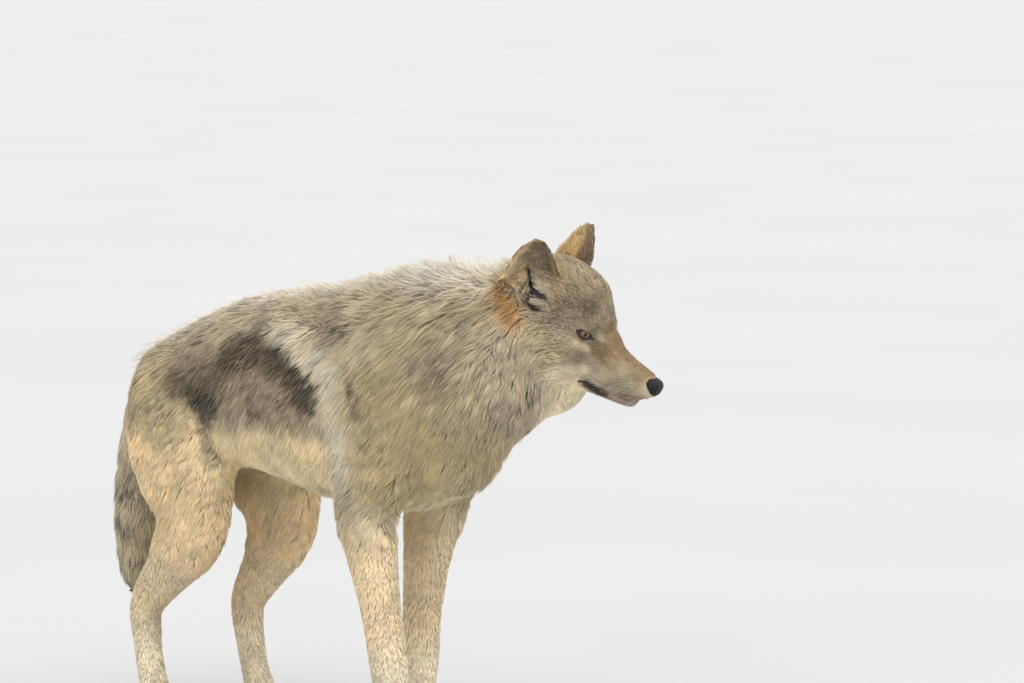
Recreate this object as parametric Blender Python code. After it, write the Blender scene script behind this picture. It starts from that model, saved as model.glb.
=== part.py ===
"""Grey wolf standing in its winter coat, life size: the solids of a still museum model.

The wolf faces -Y, its right side is towards -X, and the floor is z = 0. Shapes are given in the
wolf's own directions (forward, left, up), in metres, and reach out to the tips of the coat.
"""

import math

import bmesh
import bpy
from mathutils import Matrix, Vector

# Driving sizes, metres.
SHOULDER_TOP = 0.81
CHEST_BOTTOM = 0.41
CROUP_TOP = 0.705
RUMP_AT = -0.440
CHEST_AT = 0.390
CHEST_HALF_WIDTH = 0.135
HEAD_LENGTH = 0.275
# On the head, as (behind the nose tip, aside, up).
EAR_ROOT = (0.232, 0.060, 0.026)
EAR_TIP = (0.252, 0.087, 0.131)
EAR_HALF_WIDTH = 0.043
EAR_LOOKS_OUT = math.radians(61.0)
EYE_RADIUS = 0.0120
EYE_PROUD = 0.0022
# On the head, as (behind the nose tip, up).
EYE_AT = (0.149, 0.019)
CLAW_RADIUS = 0.0040
TAIL_LENGTH = 0.42
TAIL_ROOT_UP = 0.622

# The pose: the head is carried low, turned to the wolf's left, and its right side dips.
NOSE_AT = (0.6507, 0.1558, 0.6325)
HEAD_TURN = math.radians(24.0)
HEAD_DROP = math.radians(29.7)
HEAD_TILT = math.radians(5.0)
# Where the paws stand square, and how far each foot is ahead of that.
FOREPAW_AT = 0.262
HINDPAW_AT = -0.274
STEP = {"fore_right": 0.05, "fore_left": -0.05, "hind_right": -0.045, "hind_left": 0.055}

# The paws are cut flat this far above the lowest point of their pads.
SOLE = 0.0
SEAM = 0.0003
# A sliver with no more corners than this, shaved off by a seam, is dropped.
CHIP = 12
VOXEL = 0.0045
BODY_TRIANGLES = 3800
# The face, this far back from the nose, keeps closer facets the higher the care.
FACE_BEHIND = 0.170
FACE_CARE = 0.03

COLOURS = {
    "coat": ((0.36, 0.31, 0.24), 0.85),
    "pale_coat": ((0.62, 0.54, 0.42), 0.85),
    "ear_coat": ((0.50, 0.33, 0.16), 0.85),
    "nose_leather": ((0.02, 0.02, 0.022), 0.45),
    "eye": ((0.42, 0.20, 0.05), 0.10),
    "claw": ((0.05, 0.045, 0.04), 0.40),
}


def clear_scene():
    for obj in list(bpy.data.objects):
        bpy.data.objects.remove(obj, do_unlink=True)


def world(forward, left, up):
    """The wolf's own directions as scene axes."""
    return Vector((left, -forward, up))


def head_frame():
    """Places head shapes given as (behind the nose tip, left, up)."""
    axes = Matrix(((0, 1, 0), (1, 0, 0), (0, 0, 1))).to_4x4()
    turn = Matrix.Rotation(HEAD_TURN, 4, "Z")
    drop = Matrix.Rotation(HEAD_DROP, 4, "X")
    tilt = Matrix.Rotation(-HEAD_TILT, 4, "Y")
    return Matrix.Translation(world(*NOSE_AT)) @ turn @ drop @ tilt @ axes


HEAD = head_frame()


def on_head(behind, left, up):
    return HEAD @ Vector((behind, left, up))


# ---------------------------------------------------------------- shaping helpers


def new_object(name, bm):
    mesh = bpy.data.meshes.new(name)
    bmesh.ops.recalc_face_normals(bm, faces=bm.faces)
    bm.to_mesh(mesh)
    bm.free()
    obj = bpy.data.objects.new(name, mesh)
    bpy.context.scene.collection.objects.link(obj)
    return obj


def between(a, b, c, d, t):
    """A point of the smooth curve from b to c, at t from 0 to 1."""
    return 0.5 * (2 * b + (c - a) * t + (2 * a - 5 * b + 4 * c - d) * t * t + (3 * b - a - 3 * c + d) * t ** 3)


def smooth_run(rows, steps):
    """The rows of numbers, with steps - 1 more between each two, on a smooth curve."""
    padded = [rows[0]] + list(rows) + [rows[-1]]
    run = []
    for i in range(1, len(padded) - 2):
        for k in range(steps):
            quad = zip(padded[i - 1], padded[i], padded[i + 1], padded[i + 2])
            run.append([between(*values, k / steps) for values in quad])
    run.append(list(rows[-1]))
    return run


def loft(name, stations, place, side, squareness=2.2, steps=5, sides=24):
    """A closed body with rounded ends through stations (a, b, c, half width, half depth).

    place turns (a, b, c) into a point, and side is the direction of the half width.
    """
    run = smooth_run(stations, steps)
    middles = [place(*row[:3]) for row in run]
    rings = []
    for i, row in enumerate(run):
        along = (middles[min(i + 1, len(run) - 1)] - middles[max(i - 1, 0)]).normalized()
        across = (side - along * side.dot(along)).normalized()
        rings.append((middles[i], along, across, row[3], row[4]))
    start, end = rings[0], rings[-1]
    caps = [math.radians(a) for a in (72, 48, 24)]
    first = [dome(start, -1, a) for a in caps]
    last = [dome(end, 1, a) for a in reversed(caps)]
    bm = bmesh.new()
    loops = []
    for middle, along, across, wide, deep in first + rings + last:
        upright = across.cross(along)
        loop = []
        for k in range(sides):
            angle = 2 * math.pi * k / sides
            x = math.copysign(abs(math.cos(angle)) ** (2 / squareness), math.cos(angle))
            y = math.copysign(abs(math.sin(angle)) ** (2 / squareness), math.sin(angle))
            loop.append(bm.verts.new(middle + across * (wide * x) + upright * (deep * y)))
        loops.append(loop)
    for one, two in zip(loops, loops[1:]):
        for k in range(sides):
            bm.faces.new((one[k], one[(k + 1) % sides], two[(k + 1) % sides], two[k]))
    bm.faces.new(loops[0])
    bm.faces.new(loops[-1])
    return new_object(name, bm)


def dome(ring, way, angle):
    """One ring of the rounded end that closes a loft."""
    middle, along, across, wide, deep = ring
    reach = 0.6 * min(wide, deep) * math.sin(angle)
    shrink = math.cos(angle)
    return (middle + along * (way * reach), along, across, wide * shrink, deep * shrink)


def mass(name, middle, radii, turn=None):
    """An egg-shaped muscle or tuft of coat."""
    bm = bmesh.new()
    bmesh.ops.create_icosphere(bm, subdivisions=4, radius=1.0)
    shape = (turn or Matrix.Identity(4)) @ Matrix.Diagonal((*radii, 1.0))
    bmesh.ops.transform(bm, matrix=Matrix.Translation(middle) @ shape, verts=bm.verts)
    return new_object(name, bm)


def apply(obj, kind, **settings):
    """Puts a modifier on the object and makes it part of the mesh."""
    modifier = obj.modifiers.new(kind.title(), kind)
    for key, value in settings.items():
        setattr(modifier, key, value)
    graph = bpy.context.evaluated_depsgraph_get()
    mesh = bpy.data.meshes.new_from_object(obj.evaluated_get(graph))
    obj.modifiers.clear()
    old = obj.data
    obj.data = mesh
    bpy.data.meshes.remove(old)


def remove(obj):
    bpy.data.objects.remove(obj, do_unlink=True)


def join(name, parts):
    """All the parts as one mesh; they may overlap."""
    bm = bmesh.new()
    for part in parts:
        part.data.transform(part.matrix_basis)
        bm.from_mesh(part.data)
        remove(part)
    return new_object(name, bm)


# ---------------------------------------------------------------- the masses of the body

SIDE = world(0, 1, 0)


def trunk_masses():
    """Chest, belly and croup in one run, with the shoulder blades laid on it."""
    rows = []
    for forward, top, bottom, width in (
        (RUMP_AT, CROUP_TOP - 0.110, 0.505, 0.060),
        (-0.400, CROUP_TOP - 0.066, 0.465, 0.092),
        (-0.300, CROUP_TOP - 0.021, CHEST_BOTTOM + 0.035, 0.112),
        (-0.160, CROUP_TOP + 0.030, CHEST_BOTTOM + 0.036, 0.116),
        (-0.030, CROUP_TOP + 0.051, CHEST_BOTTOM + 0.022, 0.126),
        (0.085, SHOULDER_TOP - 0.048, CHEST_BOTTOM + 0.004, CHEST_HALF_WIDTH),
        (0.190, SHOULDER_TOP - 0.020, CHEST_BOTTOM, CHEST_HALF_WIDTH + 0.003),
        (0.270, SHOULDER_TOP - 0.004, CHEST_BOTTOM + 0.008, CHEST_HALF_WIDTH - 0.006),
        (0.335, SHOULDER_TOP - 0.030, CHEST_BOTTOM + 0.030, 0.110),
        (CHEST_AT, SHOULDER_TOP - 0.110, CHEST_BOTTOM + 0.070, 0.078),
    ):
        rows.append((forward, 0.0, (top + bottom) / 2, width, (top - bottom) / 2))
    parts = [loft("barrel", rows, world, SIDE)]
    for way in (-1, 1):
        lean = Matrix.Rotation(math.radians(24), 4, "X")
        parts.append(mass("shoulder", world(0.235, 0.082 * way, 0.60), (0.055, 0.090, 0.160), lean))
        parts.append(mass("upper_arm", world(0.235, 0.074 * way, 0.500), (0.044, 0.086, 0.090)))
    return parts


def neck_masses():
    """The neck with its mane and ruff, from between the shoulders to behind the skull."""
    back_of_head = on_head(HEAD_LENGTH - 0.030, 0.0, -0.022)
    forward, left, up = -back_of_head.y, back_of_head.x, back_of_head.z
    rows = (
        (0.140, 0.000, 0.642, 0.100, 0.125),
        (0.250, 0.004, 0.648, 0.114, 0.154),
        (0.345, 0.018, 0.663, 0.112, 0.163),
        (0.5 * (0.345 + forward), 0.5 * (0.018 + left), 0.5 * (0.652 + up), 0.104, 0.150),
        (forward, left, up, 0.084, 0.100),
    )
    parts = [loft("neck", rows, world, SIDE)]
    parts.append(mass("breast", world(0.335, 0.008, 0.555), (0.092, 0.082, 0.118)))
    return parts


def head_masses():
    """Skull and muzzle in one run, then the lower jaw, cheeks and brows."""
    across = HEAD.to_3x3() @ Vector((0, 1, 0))
    upper = []
    for behind, top, bottom, width in (
        (0.006, 0.004, -0.024, 0.015),
        (0.018, 0.012, -0.034, 0.0205),
        (0.038, 0.013, -0.039, 0.0240),
        (0.065, 0.015, -0.042, 0.0275),
        (0.092, 0.021, -0.046, 0.0335),
        (0.112, 0.033, -0.051, 0.0385),
        (0.130, 0.047, -0.056, 0.0450),
        (0.150, 0.073, -0.062, 0.0535),
        (0.176, 0.094, -0.069, 0.0630),
        (0.206, 0.099, -0.076, 0.0700),
        (0.238, 0.092, -0.080, 0.0700),
        (HEAD_LENGTH - 0.01, 0.074, -0.076, 0.0680),
    ):
        upper.append((behind, 0.0, (top + bottom) / 2, width, (top - bottom) / 2))
    lower = []
    for behind, top, bottom, width in (
        (0.028, -0.036, -0.056, 0.0130),
        (0.050, -0.034, -0.061, 0.0185),
        (0.085, -0.036, -0.067, 0.0250),
        (0.125, -0.042, -0.076, 0.0380),
        (0.170, -0.050, -0.088, 0.0500),
    ):
        lower.append((behind, 0.0, (top + bottom) / 2, width, (top - bottom) / 2))
    parts = [
        loft("skull", upper, on_head, across, squareness=2.2, sides=28),
        loft("jaw", lower, on_head, across, squareness=2.3),
    ]
    turn = HEAD.to_3x3().to_4x4()
    parts.append(mass("throat", on_head(0.174, 0.0, -0.087), (0.066, 0.054, 0.068), turn))
    for way in (-1, 1):
        parts.append(mass("cheek", on_head(0.190, 0.043 * way, -0.036), (0.072, 0.044, 0.058), turn))
        parts.append(mass("ruff", on_head(0.228, 0.055 * way, -0.058), (0.062, 0.048, 0.070), turn))
        parts.append(mass("lip", on_head(0.120, 0.023 * way, -0.033), (0.052, 0.019, 0.023), turn))
        parts.append(mass("brow", on_head(0.139, 0.031 * way, 0.043), (0.023, 0.015, 0.009), turn))
    return parts


def ear(way):
    """A cupped, round-tipped ear whose hollow looks out and forward."""
    rows, columns = 9, 6
    root = Vector((EAR_ROOT[0], EAR_ROOT[1] * way, EAR_ROOT[2]))
    tip = Vector((EAR_TIP[0], EAR_TIP[1] * way, EAR_TIP[2]))
    upright = (tip - root).normalized()
    height = (tip - root).length
    out = Vector((-math.cos(EAR_LOOKS_OUT), way * math.sin(EAR_LOOKS_OUT), 0.0))
    out = (out - upright * out.dot(upright)).normalized()
    across = upright.cross(out)
    layers = []
    for side in (0.5, -0.5):
        grid = []
        for i in range(rows + 1):
            v = 0.97 * i / rows
            wide = EAR_HALF_WIDTH * (1 - v ** 2.4) ** 0.66
            spread = math.radians(80 - 34 * v)
            thick = 0.012 - 0.005 * v
            row = []
            for j in range(columns + 1):
                swing = spread * (2 * j / columns - 1)
                radius = wide / math.sin(spread) + side * thick + 0.001
                aside = across * (radius * math.sin(swing))
                back = -out * (radius * (math.cos(swing) - math.cos(spread) * 0.9))
                row.append(root + upright * (height * v / 0.97) + aside + back)
            grid.append(row)
        layers.append(grid)
    bm = bmesh.new()
    outer, inner = ([[bm.verts.new(HEAD @ p) for p in row] for row in grid] for grid in layers)
    for grid in (outer, inner):
        for one, two in zip(grid, grid[1:]):
            for j in range(columns):
                bm.faces.new((one[j], one[j + 1], two[j + 1], two[j]))
    for j in (0, columns):
        for i in range(rows):
            bm.faces.new((outer[i][j], outer[i + 1][j], inner[i + 1][j], inner[i][j]))
    for i in (0, rows):
        for j in range(columns):
            bm.faces.new((outer[i][j], outer[i][j + 1], inner[i][j + 1], inner[i][j]))
    return new_object("ear", bm)


def tail_masses():
    """The brush leaves the croup in one line and hangs behind the haunches, thickest at its middle."""
    rows = []
    for along, back, width in (
        (-0.03, -0.090, 0.038),
        (0.01, -0.040, 0.037),
        (0.06, 0.000, 0.040),
        (0.13, 0.022, 0.041),
        (0.28, 0.040, 0.044),
        (0.52, 0.057, 0.049),
        (0.76, 0.070, 0.045),
        (0.93, 0.079, 0.030),
        (1.00, 0.084, 0.014),
    ):
        rows.append((RUMP_AT - back, 0.0, TAIL_ROOT_UP - TAIL_LENGTH * along, width, width))
    return [loft("tail", rows, world, SIDE)]


def foreleg_masses(way, step):
    """Upper arm, forearm, wrist and pastern down to the paw."""
    x = 0.072 * way
    rows = (
        (0.235, x * 1.10, 0.560, 0.046, 0.088),
        (0.222, x * 1.10, 0.490, 0.046, 0.080),
        (0.207 + 0.1 * step, x * 1.06, 0.420, 0.042, 0.061),
        (0.205 + 0.4 * step, x, 0.340, 0.034, 0.046),
        (0.210 + 0.7 * step, x * 0.96, 0.250, 0.028, 0.036),
        (0.216 + 0.9 * step, x * 0.94, 0.165, 0.0275, 0.0330),
        (0.218 + 1.0 * step, x * 0.94, 0.105, 0.0240, 0.0270),
        (0.232 + 1.0 * step, x * 0.95, 0.050, 0.0270, 0.0290),
    )
    return [loft("foreleg", rows, world, SIDE)] + paw_masses(FOREPAW_AT + step, x * 0.97, 1.0)


def hindleg_masses(way, step):
    """Thigh, shank and the long hind pastern down to the paw."""
    x = 0.074 * way
    rows = (
        (-0.285, x * 0.80, 0.610, 0.058, 0.105),
        (-0.288 + 0.1 * step, x * 0.98, 0.520, 0.063, 0.124),
        (-0.252 + 0.3 * step, x * 1.06, 0.430, 0.057, 0.112),
        (-0.238 + 0.5 * step, x * 1.02, 0.350, 0.043, 0.086),
        (-0.290 + 0.7 * step, x, 0.272, 0.0315, 0.0490),
        (-0.338 + 0.85 * step, x * 0.98, 0.222, 0.0255, 0.0370),
        (-0.352 + 0.92 * step, x * 0.98, 0.190, 0.0240, 0.0330),
        (-0.346 + 0.97 * step, x * 0.97, 0.140, 0.0225, 0.0255),
        (-0.332 + 1.0 * step, x * 0.97, 0.085, 0.0225, 0.0255),
        (-0.312 + 1.0 * step, x * 0.98, 0.045, 0.0250, 0.0270),
    )
    return [loft("hindleg", rows, world, SIDE)] + paw_masses(HINDPAW_AT + step, x, 0.93)


def paw_masses(forward, left, size):
    """A pad with four toes, the middle pair further ahead."""
    parts = [mass("palm", world(forward - 0.012 * size, left, 0.024 * size), (0.036 * size, 0.042 * size, 0.030 * size))]
    for across, ahead in TOES:
        toe = world(forward + ahead * size, left + across * size, 0.019 * size)
        parts.append(mass("toe", toe, (0.0155 * size, 0.030 * size, 0.0225 * size)))
    return parts


# Each toe's place across the paw and ahead of its middle.
TOES = ((-0.031, 0.012), (-0.0115, 0.030), (0.0115, 0.030), (0.031, 0.012))

FORE = {"right": (-1, STEP["fore_right"]), "left": (1, STEP["fore_left"])}
HIND = {"right": (-1, STEP["hind_right"]), "left": (1, STEP["hind_left"])}


def whole_body():
    """All masses as one closed skin, rounded where they meet and flat under the paws."""
    core = join("core", trunk_masses() + neck_masses())
    apply(core, "REMESH", mode="VOXEL", voxel_size=VOXEL * 1.5, adaptivity=0.0)
    apply(core, "SMOOTH", factor=0.5, iterations=36)
    parts = [core] + head_masses() + tail_masses()
    for way, step in FORE.values():
        parts += foreleg_masses(way, step)
    for way, step in HIND.values():
        parts += hindleg_masses(way, step)
    body = join("body", parts)
    apply(body, "REMESH", mode="VOXEL", voxel_size=VOXEL, adaptivity=0.0)
    apply(body, "SMOOTH", factor=0.5, iterations=16)
    apply(body, "TRIANGULATE")
    thin_out(body)
    for way in (-1, 1):
        pinna = ear(way)
        apply(body, "BOOLEAN", operation="UNION", object=pinna, solver="EXACT")
        remove(pinna)
    sole = block("floor", Vector((0, 0, SOLE - 0.1)), (2.0, 2.0, 0.2))
    cut(body, sole)
    return body


def thin_out(body):
    """Brings the body down to its triangle budget, with closer facets left on the face."""
    to_head = HEAD.inverted()
    group = body.vertex_groups.new(name="plain")
    for v in body.data.vertices:
        on_face = (to_head @ v.co).x < FACE_BEHIND
        group.add([v.index], 0.5 if on_face else 1.0, "REPLACE")
    apply(
        body,
        "DECIMATE",
        ratio=BODY_TRIANGLES / len(body.data.polygons),
        use_collapse_triangulate=True,
        vertex_group="plain",
        vertex_group_factor=FACE_CARE,
    )
    body.vertex_groups.clear()


def block(name, middle, size):
    bm = bmesh.new()
    bmesh.ops.create_cube(bm, size=1.0)
    place = Matrix.Translation(middle) @ Matrix.Diagonal((*size, 1.0))
    bmesh.ops.transform(bm, matrix=place, verts=bm.verts)
    return new_object(name, bm)


def cut(obj, cutter):
    apply(obj, "BOOLEAN", operation="DIFFERENCE", object=cutter, solver="EXACT")
    remove(cutter)


# ---------------------------------------------------------------- parting the body


def sheet(path, across, half_width):
    """A thin bent sheet along the path, as wide as half_width to each side."""
    bm = bmesh.new()
    normals = []
    for i in range(len(path)):
        along = (path[min(i + 1, len(path) - 1)] - path[max(i - 1, 0)]).normalized()
        normals.append(along.cross(across).normalized())
    loops = []
    for way in (-1, 1):
        edge = [point + across * (half_width * way) for point in path]
        top = [bm.verts.new(p + n * (SEAM / 2)) for p, n in zip(edge, normals)]
        bottom = [bm.verts.new(p - n * (SEAM / 2)) for p, n in zip(edge, normals)]
        loops.append(top + bottom[::-1])
    one, two = loops
    bm.faces.new(one)
    bm.faces.new(two)
    for k in range(len(one)):
        n = (k + 1) % len(one)
        bm.faces.new((one[k], one[n], two[n], two[k]))
    return new_object("sheet", bm)


def islands(obj):
    """The separate closed surfaces of a mesh, each as a set of vertex numbers."""
    links = {v.index: set() for v in obj.data.vertices}
    for edge in obj.data.edges:
        a, b = edge.vertices
        links[a].add(b)
        links[b].add(a)
    found = []
    left = set(links)
    while left:
        reached = {left.pop()}
        front = list(reached)
        while front:
            for near in links[front.pop()]:
                if near in left:
                    left.remove(near)
                    reached.add(near)
                    front.append(near)
        found.append(reached)
    return found


def part_off(body, name, path, across, half_width, near):
    """Cuts the body with a thin sheet and makes the piece that holds the point near its own object."""
    cut(body, sheet(path, across, half_width))
    pieces = [piece for piece in islands(body) if len(piece) > CHIP]
    if len(pieces) != 2:
        raise RuntimeError(f"{name}: the cut left {len(pieces)} pieces")
    verts = body.data.vertices
    reach = [min((verts[i].co - near).length for i in piece) for piece in pieces]
    chosen = pieces[reach.index(min(reach))]
    piece = body.copy()
    piece.data = body.data.copy()
    piece.name = name
    bpy.context.scene.collection.objects.link(piece)
    keep_only(piece, chosen)
    pieces.remove(chosen)
    keep_only(body, pieces[0])
    return piece


def keep_only(obj, kept):
    bm = bmesh.new()
    bm.from_mesh(obj.data)
    bm.verts.ensure_lookup_table()
    bmesh.ops.delete(bm, geom=[v for v in bm.verts if v.index not in kept], context="VERTS")
    bm.to_mesh(obj.data)
    bm.free()


def inlay(host, guest):
    """Sinks a guest into the piece that it grows from, with the seam's clearance round it."""
    bm = bmesh.new()
    bm.from_mesh(guest.data)
    bm.normal_update()
    grown = [v.co + v.normal * (SEAM * 1.2) for v in bm.verts]
    for v, place in zip(bm.verts, grown):
        v.co = place
    cut(host, new_object("socket", bm))


def head_pieces(body):
    """The ears, lower jaw, head and neck, each parted from what it grows from."""
    across = HEAD.to_3x3() @ Vector((0, 1, 0))
    found = {}
    for side, way in (("right", -1), ("left", 1)):
        slope = (HEAD.to_3x3() @ Vector((0, 0.055 * way, -0.065))).normalized()
        path = [on_head(0.150, 0.0585 * way, 0.0760), on_head(0.290, 0.0585 * way, 0.0590)]
        root = on_head(EAR_TIP[0], EAR_TIP[1] * way, EAR_TIP[2])
        found["ear_" + side] = part_off(body, "ear_" + side, path, slope, 0.075, root)
    mouth = [
        on_head(behind, 0.0, up)
        for behind, up in (
            (-0.020, -0.0345),
            (0.030, -0.0355),
            (0.070, -0.0370),
            (0.098, -0.0345),
            (0.106, -0.0450),
            (0.110, -0.0700),
            (0.112, -0.1400),
        )
    ]
    chin = on_head(0.030, 0.0, -0.060)
    found["lower_jaw"] = part_off(body, "lower_jaw", mouth, across, 0.09, chin)
    nape = [
        on_head(behind, 0.0, up)
        for behind, up in ((0.276, 0.150), (0.262, -0.020), (0.238, -0.100), (0.190, -0.150), (0.100, -0.190))
    ]
    found["head"] = part_off(body, "head", nape, across, 0.17, on_head(0.02, 0.0, 0.0))
    collar = [world(0.185, 0.0, 0.90), world(0.405, 0.0, 0.45)]
    found["neck"] = part_off(body, "neck", collar, SIDE, 0.25, world(0.42, 0.05, 0.72))
    return found


def tail_piece(body):
    path = [
        world(RUMP_AT + ahead, 0.0, up)
        for ahead, up in ((-0.100, 0.680), (-0.020, 0.610), (-0.008, 0.540), (0.012, 0.430))
    ]
    return part_off(body, "tail", path, SIDE, 0.080, world(RUMP_AT - 0.070, 0.0, 0.300))


def level_cut(forward, left, up, reach):
    return [world(forward - reach, left, up), world(forward + reach, left, up)]


def foreleg_pieces(body, side, way, step):
    """Paw, pastern and forearm, parted from the ground up."""
    found = {}
    x = 0.069 * way
    for name, forward, up, reach, low in (
        ("forepaw_", 0.228 + step, 0.064, 0.06, 0.02),
        ("fore_pastern_", 0.214 + 0.85 * step, 0.190, 0.06, 0.12),
        ("forearm_", 0.210 + 0.1 * step, 0.398, 0.11, 0.30),
    ):
        near = world(forward, x, low)
        path = level_cut(forward, x, up, reach)
        found[name + side] = part_off(body, name + side, path, SIDE, 0.058, near)
    return found


def hindleg_pieces(body, side, way, step):
    """Paw, pastern, shank and thigh, parted from the ground up."""
    found = {}
    x = 0.074 * way
    knee = world(-0.256 + 0.6 * step, x, 0.307)
    slant = world(0.120, 0.0, -0.040)
    for name, path, low in (
        ("hindpaw_", level_cut(-0.311 + step, x, 0.060, 0.06), (-0.276 + step, 0.02)),
        ("hind_pastern_", level_cut(-0.340 + 0.9 * step, x, 0.172, 0.06), (-0.33 + step, 0.11)),
        ("shank_", [knee - slant, knee + slant], (-0.315 + 0.8 * step, 0.24)),
    ):
        near = world(low[0], x, low[1])
        found[name + side] = part_off(body, name + side, path, SIDE, 0.055, near)
    up_out = world(0.0, 0.487 * way, 0.873)
    down_out = world(0.0, 0.873 * way, -0.487)
    middle = world(0.3 * step, 0.078 * way, 0.530)
    path = []
    for forward, away in ((-0.436, 0.0), (-0.190, 0.0), (-0.145, 0.015), (-0.120, 0.045), (-0.110, 0.150)):
        path.append(middle + world(forward, 0.0, 0.0) + down_out * away)
    near = world(-0.20, x, 0.38)
    found["thigh_" + side] = part_off(body, "thigh_" + side, path, up_out, 0.150, near)
    return found


# ---------------------------------------------------------------- eyes, nose and claws


def eye(head, side, way):
    """The eyeball, set into the side of the head so that only its front shows."""
    start = on_head(EYE_AT[0] - 0.05, 0.15 * way, EYE_AT[1] + 0.01)
    inward = (on_head(EYE_AT[0], 0.0, EYE_AT[1]) - start).normalized()
    hit, place, normal, _ = head.ray_cast(start, inward)
    if not hit:
        raise RuntimeError("the eye missed the head")
    bm = bmesh.new()
    bmesh.ops.create_uvsphere(bm, u_segments=10, v_segments=7, radius=EYE_RADIUS)
    facing = normal.to_track_quat("Z", "Y").to_matrix().to_4x4()
    centre = place - normal * (EYE_RADIUS - EYE_PROUD)
    bmesh.ops.transform(bm, matrix=Matrix.Translation(centre) @ facing, verts=bm.verts)
    ball = new_object("eye_" + side, bm)
    inlay(head, ball)
    return ball


def nose_pad(head):
    """The bare leather at the end of the muzzle."""
    turn = HEAD.to_3x3().to_4x4()
    bm = bmesh.new()
    bmesh.ops.create_uvsphere(bm, u_segments=12, v_segments=8, radius=1.0)
    for v in bm.verts:
        v.co = Vector([math.copysign(abs(c) ** 0.8, c) for c in v.co])
        v.co.y *= 1.0 + 0.22 * v.co.z
    shape = Matrix.Diagonal((0.0150, 0.0165, 0.0135, 1.0))
    place = Matrix.Translation(on_head(0.0125, 0.0, -0.0065))
    bmesh.ops.transform(bm, matrix=place @ turn @ shape, verts=bm.verts)
    pad = new_object("nose_pad", bm)
    inlay(head, pad)
    return pad


def claw(paw, name, root, length, heading=0.0):
    """A blunt curved claw whose root sits in the toe."""
    bm = bmesh.new()
    rings = []
    sides = 5
    for t, drop, thick in ((0.0, 0.0, 0.95), (0.5, 0.05, 0.95), (0.95, 0.34, 0.35)):
        ahead = math.cos(heading) * t * length
        aside = math.sin(heading) * t * length
        middle = root + world(ahead, aside, -drop * length)
        ring = []
        for k in range(sides):
            angle = 2 * math.pi * k / sides
            wide = 0.8 * CLAW_RADIUS * thick * math.cos(angle)
            tall = CLAW_RADIUS * thick * math.sin(angle)
            spot = world(-wide * math.sin(heading), wide * math.cos(heading), tall)
            ring.append(bm.verts.new(middle + spot))
        rings.append(ring)
    for one, two in zip(rings, rings[1:]):
        for k in range(sides):
            n = (k + 1) % sides
            bm.faces.new((one[k], one[n], two[n], two[k]))
    bm.faces.new(rings[0])
    bm.faces.new(rings[-1])
    piece = new_object(name, bm)
    inlay(paw, piece)
    return piece


def claws(pieces, kind, side, forward, left, size):
    """The four claws of one paw, numbered from the inner toe outwards."""
    found = {}
    paw = pieces[kind + "paw_" + side]
    inner_first = TOES if left > 0 else TOES[::-1]
    for number, (across, ahead) in enumerate(inner_first, 1):
        root = world(forward + (ahead + 0.021) * size, left + across * size, 0.0185 * size)
        name = f"{kind}claw_{side}_{number}"
        found[name] = claw(paw, name, root, 0.020 * size)
    return found


def material(name):
    colour, rough = COLOURS[name]
    made = bpy.data.materials.new(name)
    made.use_nodes = True
    shader = made.node_tree.nodes["Principled BSDF"]
    shader.inputs["Base Color"].default_value = (*colour, 1.0)
    shader.inputs["Roughness"].default_value = rough
    shader.inputs["Metallic"].default_value = 0.0
    return made


def finish_of(name):
    for start, finish in (
        ("eye", "eye"),
        ("nose", "nose_leather"),
        ("ear", "ear_coat"),
        ("lower_jaw", "pale_coat"),
    ):
        if name.startswith(start):
            return finish
    if "claw" in name:
        return "claw"
    if "paw" in name or "pastern" in name or "forearm" in name or "shank" in name:
        return "pale_coat"
    return "coat"


def centre_on_origin(pieces):
    """Brings the middle of the whole model's footprint to the origin."""
    corners = [v.co for piece in pieces for v in piece.data.vertices]
    middle = Vector((0.0, 0.0, min(c.z for c in corners)))
    for axis in (0, 1):
        values = [c[axis] for c in corners]
        middle[axis] = (min(values) + max(values)) / 2
    for piece in pieces:
        piece.data.transform(Matrix.Translation(-middle))


def main():
    clear_scene()
    body = whole_body()
    pieces = head_pieces(body)
    pieces["tail"] = tail_piece(body)
    for side, (way, step) in FORE.items():
        pieces.update(foreleg_pieces(body, side, way, step))
    for side, (way, step) in HIND.items():
        pieces.update(hindleg_pieces(body, side, way, step))
    body.name = "trunk"
    pieces["trunk"] = body
    for side, (way, step) in FORE.items():
        pieces["eye_" + side] = eye(pieces["head"], side, way)
        pieces.update(claws(pieces, "fore", side, FOREPAW_AT + step, 0.070 * way, 1.0))
        dew = world(0.226 + step, 0.047 * way, 0.094)
        name = "dewclaw_" + side
        pieces[name] = claw(pieces["fore_pastern_" + side], name, dew, 0.016, -0.9 * way)
    for side, (way, step) in HIND.items():
        pieces.update(claws(pieces, "hind", side, HINDPAW_AT + step, 0.074 * way, 0.93))
    pieces["nose_pad"] = nose_pad(pieces["head"])
    finishes = {name: material(name) for name in COLOURS}
    for name, piece in pieces.items():
        piece.data.materials.clear()
        piece.data.materials.append(finishes[finish_of(name)])
        smooth = name.startswith("eye") or name == "nose_pad"
        piece.data.polygons.foreach_set("use_smooth", [smooth] * len(piece.data.polygons))
    centre_on_origin(list(pieces.values()))


main()
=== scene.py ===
import math

import bpy
import numpy as np
from mathutils import Matrix, Vector
from mathutils.bvhtree import BVHTree
from mathutils.kdtree import KDTree


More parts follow.
